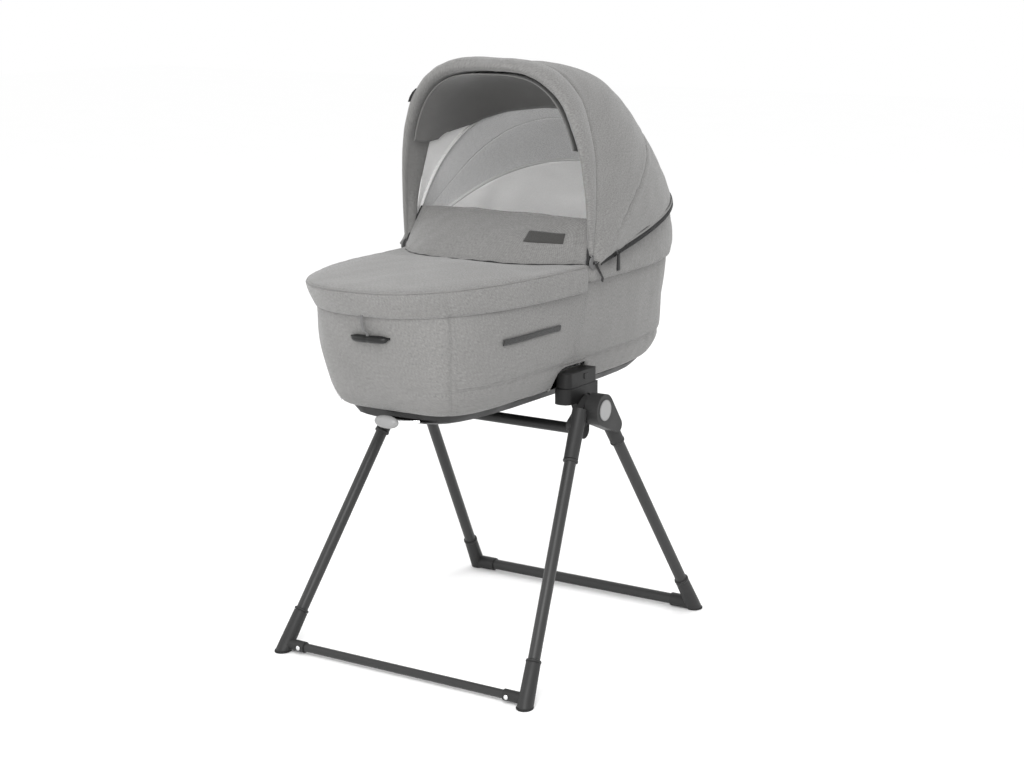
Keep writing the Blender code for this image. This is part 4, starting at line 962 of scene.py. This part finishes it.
def make_zip():
    """The zip round the head end under the hood: tape, two rows of teeth, slider and pull."""
    line = hood_row(ZIP_LINE_ANGLE, hood_turns(700, 0.009), -0.0006)
    centre_line = line[::3]
    side, _ = frames_along(centre_line, up=ZIP_WAY)
    sign = np.sign((side * (centre_line - (0, 0.1, 0.75))).sum(-1).mean())
    rows = [centre_line + ZIP_WAY * h + side * sign * 0.0020 for h in TAPE_ROWS]
    placed(cloth("zip_tape", np.stack(rows), "zip_tape", 0.0009), "cot", ["hood_zip"])
    teeth = resampled(line, TOOTH_PITCH)
    outward = frames_along(teeth, up=ZIP_WAY)[0] * sign
    run = unit(np.gradient(teeth, axis=0))
    points, faces = [], []
    for k, p in enumerate(teeth):
        centre = p + ZIP_WAY * TOOTH_SHIFT * (1 if k % 2 else -1) + outward[k] * 0.0030
        faces += [tuple(len(points) + i for i in face) for face in BOX_FACES]
        along, across, out = (way * half for way, half in zip((run[k], ZIP_WAY, outward[k]), TOOTH_HALF))
        points += [centre + along * i + across * j + out * m for i in (-1, 1) for j in (-1, 1) for m in (-1, 1)]
    placed(new_object("zip_teeth", points, faces, "zip", smooth=False), "cot")
    edge = hood_row(ZIP_LINE_ANGLE, hood_turns(240, 0.060), -0.0020)
    for name, rise, radius, look in (("hood_lower_piping", 0.0062, 0.0020, "piping"),
                                     # The thin dark cord 0.0096 above the zip is painted shadow: a dark line standing
                                     # for the shade in the groove above the piping.
                                     ("piping_shadow_line", 0.0096, 0.0008, "tape"),
                                     ("head_band_piping", -0.0052, 0.0012, "piping")):
        cord(name, edge + ZIP_WAY * rise, radius, look, "cot", up=ZIP_WAY)
    make_zip_slider(line)


SLIDER_SQUASH = 0.55
PULL_SECTION = ((0.0009, -1), (0.0012, -0.6), (0.0012, 0.6), (0.0009, 1), (-0.0006, 1), (-0.0008, 0.6),
                (-0.0008, -0.6), (-0.0006, -1))  # out from the middle, share of the half-width


def make_zip_slider(line):
    """The slider on the zip, and its long pull that hangs from a ring."""
    low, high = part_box("zip_pull")
    top = np.array(((low.x + high.x) / 2, (low.y + high.y) / 2, high.z - 0.001))
    k = int(np.argmin(np.linalg.norm(line - top, axis=1)))
    centre = line[k] + (0.0020, 0, 0)
    run = unit(line[k + 3] - line[k - 3])
    body = tube("zip_slider", [centre + run * d for d in (-0.0065, -0.0055, 0.0, 0.0055, 0.0065)],
                (0.0034, 0.0054, 0.0048, 0.0056, 0.0040), "zip", 14, up=ZIP_WAY)
    squash_about(body, centre, (SLIDER_SQUASH, 1, 1))
    placed(body, "cot")
    points = []
    for s in np.linspace(0, 1, 17):
        wide = 0.0046 + 0.0016 * s - 0.0014 * max(0, s - 0.9) * 10
        z = high.z - 0.0005 - (high.z - low.z) * s
        points += [(top[0] + out, top[1] + wide * share, z) for out, share in PULL_SECTION]
    placed(new_object("zip_pull_tab", points, solid_faces(17, 8), "zip"), "zip_pull", ["zip_pull"])
    c, s = circle(20, 0.0034, 0.0040)
    ring = top + np.stack([0 * c, c, s], axis=1) + (0.0012, 0, 0.0026)
    cord("zip_pull_ring", ring, 0.0006, "zip", "zip_pull", 8, closed=True, up=(1, 0, 0))
    tail = np.array([(0.2130, -0.006, 0.7330), (0.2146, -0.002, 0.7250), (0.2150, 0.007, 0.7140),
                     (0.2135, 0.017, 0.7050), (0.2085, 0.024, 0.6965)])
    for sign, tag in SIDES:
        cord(f"zip_end_tab_{tag}", resampled(tail * (sign, 1, 1), 0.002), 0.0030, "tape", "cot", up=(0, 1, 0),
             flat=0.35)


def squash_about(obj, centre, scale):
    centre = Vector(centre)
    obj.data.transform(Matrix.Translation(centre) @ Matrix.Diagonal((*scale, 1)) @ Matrix.Translation(-centre))


# ---- Wind flap ----
FLAP_COLS, FLAP_ROWS = 141, 40
FLAP_FRONT_BULGE = 0.115
FLAP_BOTTOM_HALF, FLAP_TOP_HALF = 0.2020, 0.1850
FLAP_SIDE_Y = -0.022


def make_wind_flap():
    """The padded flap that stands across the opening, sewn to the foot cover on a curved seam."""
    _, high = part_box("wind_flap")
    fine = np.linspace(-1, 1, 1601)
    seam_line = np.stack([fine * FLAP_BOTTOM_HALF, FLAP_SIDE_Y - FLAP_FRONT_BULGE * (1 - np.abs(fine) ** 2.4)], axis=1)
    x = np.linspace(-1, 1, FLAP_COLS)
    bottom_x, bottom_y = even(seam_line, FLAP_COLS).T
    bottom = np.stack([bottom_x, bottom_y, cover_height(bottom_x, bottom_y) + 0.0022], axis=1)
    top = np.stack([x * FLAP_TOP_HALF, high.y - 0.003 + 0.004 * (1 - x ** 2), high.z - 0.0005 - 0.0015 * x ** 4], axis=1)
    s = np.linspace(0, 1, FLAP_ROWS)[:, None]
    grid = bottom + (top - bottom) * s[..., None]
    grid[..., 1] -= 0.004 * np.sin(math.pi * s) * (1 - np.abs(x) ** 4)
    grid[..., 2] += 0.005 * np.sin(math.pi * s) * (1 - np.abs(x) ** 3)
    n = normals_of(grid)
    n *= np.sign(-n[..., 1].mean())
    puff = 0.0016 * np.sin(math.pi * s) + waves(grid, (0.0012, 0.15), (0.0006, 0.05), 71)
    puff += 0.0006 * np.sin(run_lengths(bottom) / 0.0060) * np.exp(-s / 0.07) - 0.0012 * bump_at(s - 0.055, 0.02)
    hems = sum(bump_at(x * FLAP_BOTTOM_HALF - at, 0.0016) for at in (0.1900, 0.1845))
    grid = grid + n * (puff - 0.0010 * (hems + hems[::-1]))[..., None]
    flap = cloth("wind_flap_cloth", grid, "shell", 0.0036, out=-1)
    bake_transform(flap)
    placed(flap, None, ["wind_flap"])
    placed(tube("wind_flap_hem", grid[-1] + (0, 0.0008, 0.0002), 0.0014, "shell_edge"), "wind_flap")
    for name, row, body in (("seam", 2, "cot"), ("top", FLAP_ROWS - 3, "wind_flap")):
        sew(f"wind_flap_{name}_stitch", grid[row] + n[row] * 0.0004, body)
    for column, tag in ((0, "left"), (-1, "right")):
        edge = grid[:, column] + (0.0016 * x[column], 0.0010, 0)
        binding = tube(f"wind_flap_binding_{tag}", edge, 0.0024, "tape")
        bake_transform(binding)
        placed(binding)
    cord("wind_flap_seam", grid[0] + n[0] * 0.0002, 0.0016, "tape", "cot", 8)
    make_label(grid, n, bottom_x)


def cover_height(x, y):
    """The height of the foot cover's top at these points, from its rows."""
    _, ring = band_rings()
    rows = np.concatenate([dome_point(ring, s) for s in np.linspace(0.05, 1.0, 40)])
    found = []
    for a, b in zip(x, y):
        d = (rows[:, 0] - a) ** 2 + (rows[:, 1] - b) ** 2
        near = np.argsort(d)[:4]
        found.append(np.average(rows[near, 2], weights=1 / (d[near] + 1e-8)))
    return np.array(found)


LABEL_OVER_X = 0.138  # the seam's point under the label
LABEL_WIDE, LABEL_HIGH = 0.070, 0.031


def make_label(grid, n, bottom_x):
    """A blank woven label sewn on the flap, along the flap's own grain."""
    rows, cols = grid.shape[:2]
    middle_row = rows // 2
    across = run_lengths(grid[middle_row])
    centre = np.interp(LABEL_OVER_X, bottom_x, across)
    up = run_lengths(grid[:, int(np.interp(LABEL_OVER_X, bottom_x, np.arange(cols)))])
    face = []
    for v in np.linspace(-1, 1, 11):
        r = np.interp(up[middle_row] + v * LABEL_HIGH / 2, up, np.arange(rows))
        for u in np.linspace(-1, 1, 41):
            c = np.interp(centre + u * LABEL_WIDE / 2, across, np.arange(cols))
            lift = 0.0016 - 0.0006 * max(abs(u) ** 12, abs(v) ** 12)
            face.append(grid_point(grid, r, c) + grid_point(n, r, c) * lift)
    label = cloth("label_blank", np.reshape(face, (11, 41, 3)), "label", 0.0012, out=-1)
    placed(label, "wind_flap", ["blank_label"])


def grid_point(grid, r, c):
    """A point between the rows and columns of a grid."""
    i, k = min(int(r), grid.shape[0] - 2), min(int(c), grid.shape[1] - 2)
    a, b = r - i, c - k
    return (1 - a) * ((1 - b) * grid[i, k] + b * grid[i, k + 1]) \
        + a * ((1 - b) * grid[i + 1, k] + b * grid[i + 1, k + 1])


# ---- Mattress ----
PAD_CORNER, PAD_COLS, PIPING_COLS = 0.09, 120, 260
PAD_SECTION = ((0, 0.012), (0, 0.005), (0.004, 0.0008), (0.012, 0.0))  # from its flat side up, and in from its edge
QUILT_PITCH, QUILT_WIDTH, QUILT_DIP = 0.046, 0.0045, 0.0022
VOXEL, PRESSURE, SWELL_CAP, SWELL_FRAMES = 0.006, 4.0, 0.006, 20


def pad_outline(half, y0, y1, radius, count, z):
    """A rounded oblong at a height, with points at even steps."""
    line = []
    for cx, cy, start in ((half - radius, y1 - radius, 0), (-half + radius, y1 - radius, 90),
                          (-half + radius, y0 + radius, 180), (half - radius, y0 + radius, 270)):
        for a in np.radians(np.linspace(start, start + 90, 30)):
            line.append((cx + radius * math.cos(a), cy + radius * math.sin(a)))
    return at_height(even(np.array(line + line[:1]), count, endpoint=False), z)


def make_mattress():
    """One crowned pad over the foot half and the backrest half, with a piped edge and quilting."""
    foot_low, foot_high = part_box("mattress_foot")
    _, head_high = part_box("mattress_head")
    z0, z1 = foot_low.z + 0.001, foot_high.z - 0.0035
    half, y0, y1 = foot_high.x - 0.003, foot_low.y + 0.003, head_high.y - 0.003
    section = [(z0 + up, inset) for up, inset in PAD_SECTION] + [(z1 - up, inset) for up, inset in PAD_SECTION[::-1]]
    rings = [pad_outline(half - i, y0 + i, y1 - i, PAD_CORNER - i, PAD_COLS, z) for z, i in section]
    pad = new_object("mattress_pad", np.concatenate(rings), solid_faces(len(rings), PAD_COLS), "mattress")
    inflate(pad)
    points = np.array([v.co for v in pad.data.vertices])
    top = smooth_step((points[:, 2] - (z0 + z1) / 2) / 0.010)
    lines = np.zeros(len(points))
    for sign in (1, -1):
        d = (points[:, 0] * sign + points[:, 1]) / math.sqrt(2)
        away = np.abs((d / QUILT_PITCH + 0.5) % 1 - 0.5) * QUILT_PITCH
        lines = np.maximum(lines, bump_at(away, QUILT_WIDTH))
    points[:, 2] -= QUILT_DIP * lines * top
    points[:, 2] = np.clip(points[:, 2], foot_low.z + 0.0004, foot_high.z + 0.006)
    pad.data.vertices.foreach_set("co", points.ravel())
    pad.data.update()
    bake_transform(pad)
    placed(pad, None, ["mattress_foot", "mattress_head"])
    for tag, z in (("low", z0 + 0.006), ("high", z1 - 0.006)):
        path = pad_outline(half + 0.0022, y0 - 0.0022, y1 + 0.0022, PAD_CORNER, PIPING_COLS, z)
        piping = tube(f"mattress_piping_{tag}", path, 0.0024, "casing", closed=True)
        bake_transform(piping)
        placed(piping)


def inflate(obj):
    """Remeshes a stuffed shape and blows it up a little as cloth, never further than a cap."""
    remesh = obj.modifiers.new("remesh", "REMESH")
    remesh.mode, remesh.voxel_size, remesh.use_smooth_shade = "VOXEL", VOXEL, True
    baked(obj)
    before = np.array([v.co for v in obj.data.vertices])
    swell = obj.modifiers.new("cloth", "CLOTH")
    settings = swell.settings
    settings.use_pressure, settings.uniform_pressure_force = True, PRESSURE
    settings.effector_weights.gravity = 0
    settings.quality, settings.mass = 5, 0.3
    swell.point_cache.frame_start, swell.point_cache.frame_end = 1, SWELL_FRAMES
    scene = bpy.context.scene
    for step in range(1, SWELL_FRAMES + 1):
        scene.frame_set(step)
    shown = obj.evaluated_get(bpy.context.evaluated_depsgraph_get()).data
    after = np.array([v.co for v in shown.vertices])
    obj.modifiers.clear()
    scene.frame_set(1)
    if after.shape == before.shape:
        move = after - before
        size = np.linalg.norm(move, axis=1, keepdims=True)
        after = before + move * np.minimum(1, SWELL_CAP / np.maximum(size, 1e-9))
        obj.data.vertices.foreach_set("co", after.ravel())
    divide = obj.modifiers.new("divide", "SUBSURF")
    divide.levels = divide.render_levels = 1
    baked(obj)
    obj.data.shade_smooth()


# ---- Stand and mouldings ----
# The finish of each hard CAD node, by the start of its name, and the width of its softened edges
HARD = {
    "dark": (0.0012, ("front_knuckle", "rear_knuckle", "front_foot", "rear_foot")),
    "socket": (0.0014, ("hub", "clip_adapter", "release_button", "hood_hinge")),
    "base": (0.0020, ("base_tray",)),
    "light": (0.0007, ("pivot_cap",)),
    "board": (0.0006, ("rim_frame", "middle_bow", "front_bow", "backrest_board")),
    "bright": (0.0003, ("pivot_bolt", "front_bracket_bolt", "adjuster_link")),
}


def evenly_shaded(obj):
    obj.modifiers.new("shade", "WEIGHTED_NORMAL").keep_sharp = False


def finish_hard_nodes():
    """Gives each hard CAD node its finish, softened edges and smooth shading."""
    for name, node in NODES.items():
        look = next((k for k, (_, names) in HARD.items() if name.startswith(names)), None)
        if look is None:
            continue
        node.data.materials.clear()
        node.data.materials.append(LOOKS[look])
        node.modifiers.new("weld", "WELD").merge_threshold = 0.00002
        edge = node.modifiers.new("edge", "BEVEL")
        edge.width, edge.segments, edge.limit_method = HARD[look][0], 3, "ANGLE"
        edge.angle_limit = math.radians(32)
        edge.use_clamp_overlap, edge.harden_normals = True, False
        node.data.shade_smooth()
        evenly_shaded(node)


def tube_axis(node):
    """The two ends of a straight tube node's centre line, from its own points."""
    points = np.array([v.co for v in NODES[node].data.vertices])
    centre = points.mean(0)
    along = (points - centre) @ np.linalg.svd(points - centre, full_matrices=False)[2][0]
    return points[along < along.min() + 0.004].mean(0), points[along > along.max() - 0.004].mean(0)


ROLLED_EDGE = ((0.0, 0.0012), (0.0004, 0.0004), (0.0012, 0.0))  # along the tube from its end, and in from its side


def make_bar(node, look, body, radius):
    """A painted round tube with a rolled edge at each end."""
    a, b = tube_axis(node)
    way = unit(b - a)
    path = ([a + way * d for d, _ in ROLLED_EDGE] + [a + (b - a) * t for t in np.linspace(0.02, 0.98, 12)]
            + [b - way * d for d, _ in ROLLED_EDGE[::-1]])
    rolled = [radius - inset for _, inset in ROLLED_EDGE]
    up = (0, 1, 0.3) if abs(way[0]) > 0.8 or abs(way[2]) > 0.5 else (0, 0, 1)
    piece = tube(node + "_tube", path, rolled + [radius] * 12 + rolled[::-1], look, 40, up=up)
    evenly_shaded(piece)
    placed(piece, body, [node])


LEG_R, FRONT_BAR_R, REAR_BAR_R, CROSSBAR_R = 0.011, 0.008, 0.0105, 0.0103


def make_stand():
    for kind in ("front", "rear"):
        for _, tag in SIDES:
            make_bar(f"{kind}_leg_tube_{tag}", "leg", f"{kind}_legs", LEG_R)
            make_sleeve_details(kind, tag)
    make_bar("front_bottom_bar", "leg", "front_legs", FRONT_BAR_R)
    make_bar("rear_bottom_bar", "leg", "rear_legs", REAR_BAR_R)
    make_bar("top_crossbar", "bar", "stand_hub", CROSSBAR_R)


LIP = np.array(((-0.0022, 0.0118), (-0.0018, 0.0130), (-0.0008, 0.0139), (0.0010, 0.0142), (0.0030, 0.0138)))


def make_sleeve_details(kind, tag):
    """The rolled lips of the sleeves where the tube goes in, and a sole under the foot."""
    low, high = sorted(tube_axis(f"{kind}_leg_tube_{tag}"), key=lambda end: end[2])
    way = unit(high - low)
    for name, z, sign in (("knuckle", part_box(f"{kind}_knuckle_{tag}")[0].z + 0.004, 1),
                          ("foot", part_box(f"{kind}_foot_{tag}")[1].z - 0.004, -1)):
        centre = low + way * (z - low[2]) / way[2]
        cord(f"{kind}_{name}_lip_{tag}", centre + sign * np.outer(LIP[:, 0], way), LIP[:, 1], "dark",
             f"{kind}_legs", 40, up=(0, 1, 0.2))
    base = low - way * (low[2] / way[2])
    c, s = circle(48, 0.0135, 0.0150)
    path = np.stack([base[0] + c, base[1] + s, np.full(48, 0.0021)], axis=1)
    cord(f"{kind}_sole_{tag}", path, 0.0020, "rubber", f"{kind}_legs", 8, closed=True)


def make_caps():
    """Thin satin rims round the light caps over the pivots."""
    for side, tag in SIDES:
        low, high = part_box(f"pivot_cap_{tag}")
        radius = (high.z - low.z) / 2 - 0.0006
        c, s = circle(64, radius, radius)
        x = (high.x if side > 0 else low.x) - side * 0.0012
        ring = np.stack([np.full(64, x), (low.y + high.y) / 2 + c, (low.z + high.z) / 2 + s], axis=1)
        cord(f"pivot_cap_rim_{tag}", ring, 0.0009, "knob", "rear_legs", closed=True, up=(1, 0, 0))


KNOB_WIDEN = 1.15


def make_knob():
    """The egg-shaped satin handle of the backrest."""
    low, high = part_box("adjuster_knob")
    centre = (low + high) / 2
    xs = np.linspace(-1, 1, 33)
    path = np.stack([centre.x + (high.x - low.x) / 2 * xs, np.full(33, centre.y), np.full(33, centre.z)], axis=1)
    rounds = (high.z - low.z) / 2 * np.sqrt(np.clip(1 - np.abs(xs) ** 2.3, 0.004, 1))
    knob = tube("adjuster_handle", path, rounds, "knob", 36)
    squash_about(knob, centre, (1, (high.y - low.y) / (high.z - low.z) * KNOB_WIDEN, 1))
    placed(knob, "adjuster", ["adjuster_knob"])


# ---- Room ----
CAMERA_AT = Vector((2.050, -3.110, 1.291))
CAMERA_AZIMUTH, CAMERA_ELEVATION, CAMERA_LENS = 33.03, 12.21, 70.8
FLOOR_SIZE, FLOOR_Z = 14.0, -0.0006
SKY_STRENGTH = 1.0
LIGHTS = {  # place, aimed at, size, power
    "key": ((1.6, -2.6, 3.0), (0, 0, 0.6), 2.2, 62),
    "fill": ((-3.0, -1.8, 1.8), (0, 0, 0.6), 2.4, 16),
    "back": ((0.6, 3.2, 2.6), (0, 0.2, 0.8), 2.2, 24),
    "mouth": ((0.55, -1.5, 1.10), (-0.06, 0.15, 0.88), 0.5, 9),
}


def aimed(name, data, place, way):
    """A camera or light at a place, looking along a direction."""
    obj = bpy.data.objects.new(name, data)
    bpy.context.scene.collection.objects.link(obj)
    obj.location, obj.rotation_mode = place, "QUATERNION"
    obj.rotation_quaternion = way.to_track_quat("-Z", "Y")
    return obj


def make_camera():
    a, e = math.radians(CAMERA_AZIMUTH), math.radians(CAMERA_ELEVATION)
    data = bpy.data.cameras.new("camera")
    data.lens, data.sensor_width = CAMERA_LENS, 36.0
    way = -Vector((math.sin(a) * math.cos(e), -math.cos(a) * math.cos(e), math.sin(e)))
    bpy.context.scene.camera = aimed("camera", data, CAMERA_AT, way)


def make_room():
    """A white floor and sky, with soft lights."""
    corners = [(x * FLOOR_SIZE, y * FLOOR_SIZE, FLOOR_Z) for x, y in ((-1, -1), (1, -1), (1, 1), (-1, 1))]
    look = Look("floor_paper", 1.0, **{"Specular IOR Level": 0.0})
    look.links.new(look.mixed(look.noise(3.0, 2.0), (0.985,) * 3, (0.999,) * 3), look.shader.inputs["Base Color"])
    LOOKS["floor"] = look.material
    new_object("floor", corners, [(0, 1, 2, 3)], "floor", smooth=False, outward=False)
    world = bpy.data.worlds.new("room")
    world.use_nodes = True
    sky = world.node_tree.nodes["Background"]
    sky.inputs["Color"].default_value = (1, 1, 1, 1)
    sky.inputs["Strength"].default_value = SKY_STRENGTH
    bpy.context.scene.world = world
    for name, (place, target, size, power) in LIGHTS.items():
        data = bpy.data.lights.new(name, "AREA")
        data.shape, data.size, data.energy = "DISK", size, power
        aimed(name, data, place, Vector(target) - Vector(place))
    bpy.context.scene.view_settings.view_transform = "Standard"


# ---- Everything ----
make_camera()
make_room()
make_shell()
make_foot_band()
make_foot_top()
make_head_band()
make_trim()
make_lining_wall()
make_mattress()
make_hood_covers()
make_front_band()
make_hood_linings()
make_visor()
make_rim_tag()
make_zip()
make_wind_flap()
make_stand()
make_caps()
make_knob()
finish_hard_nodes()
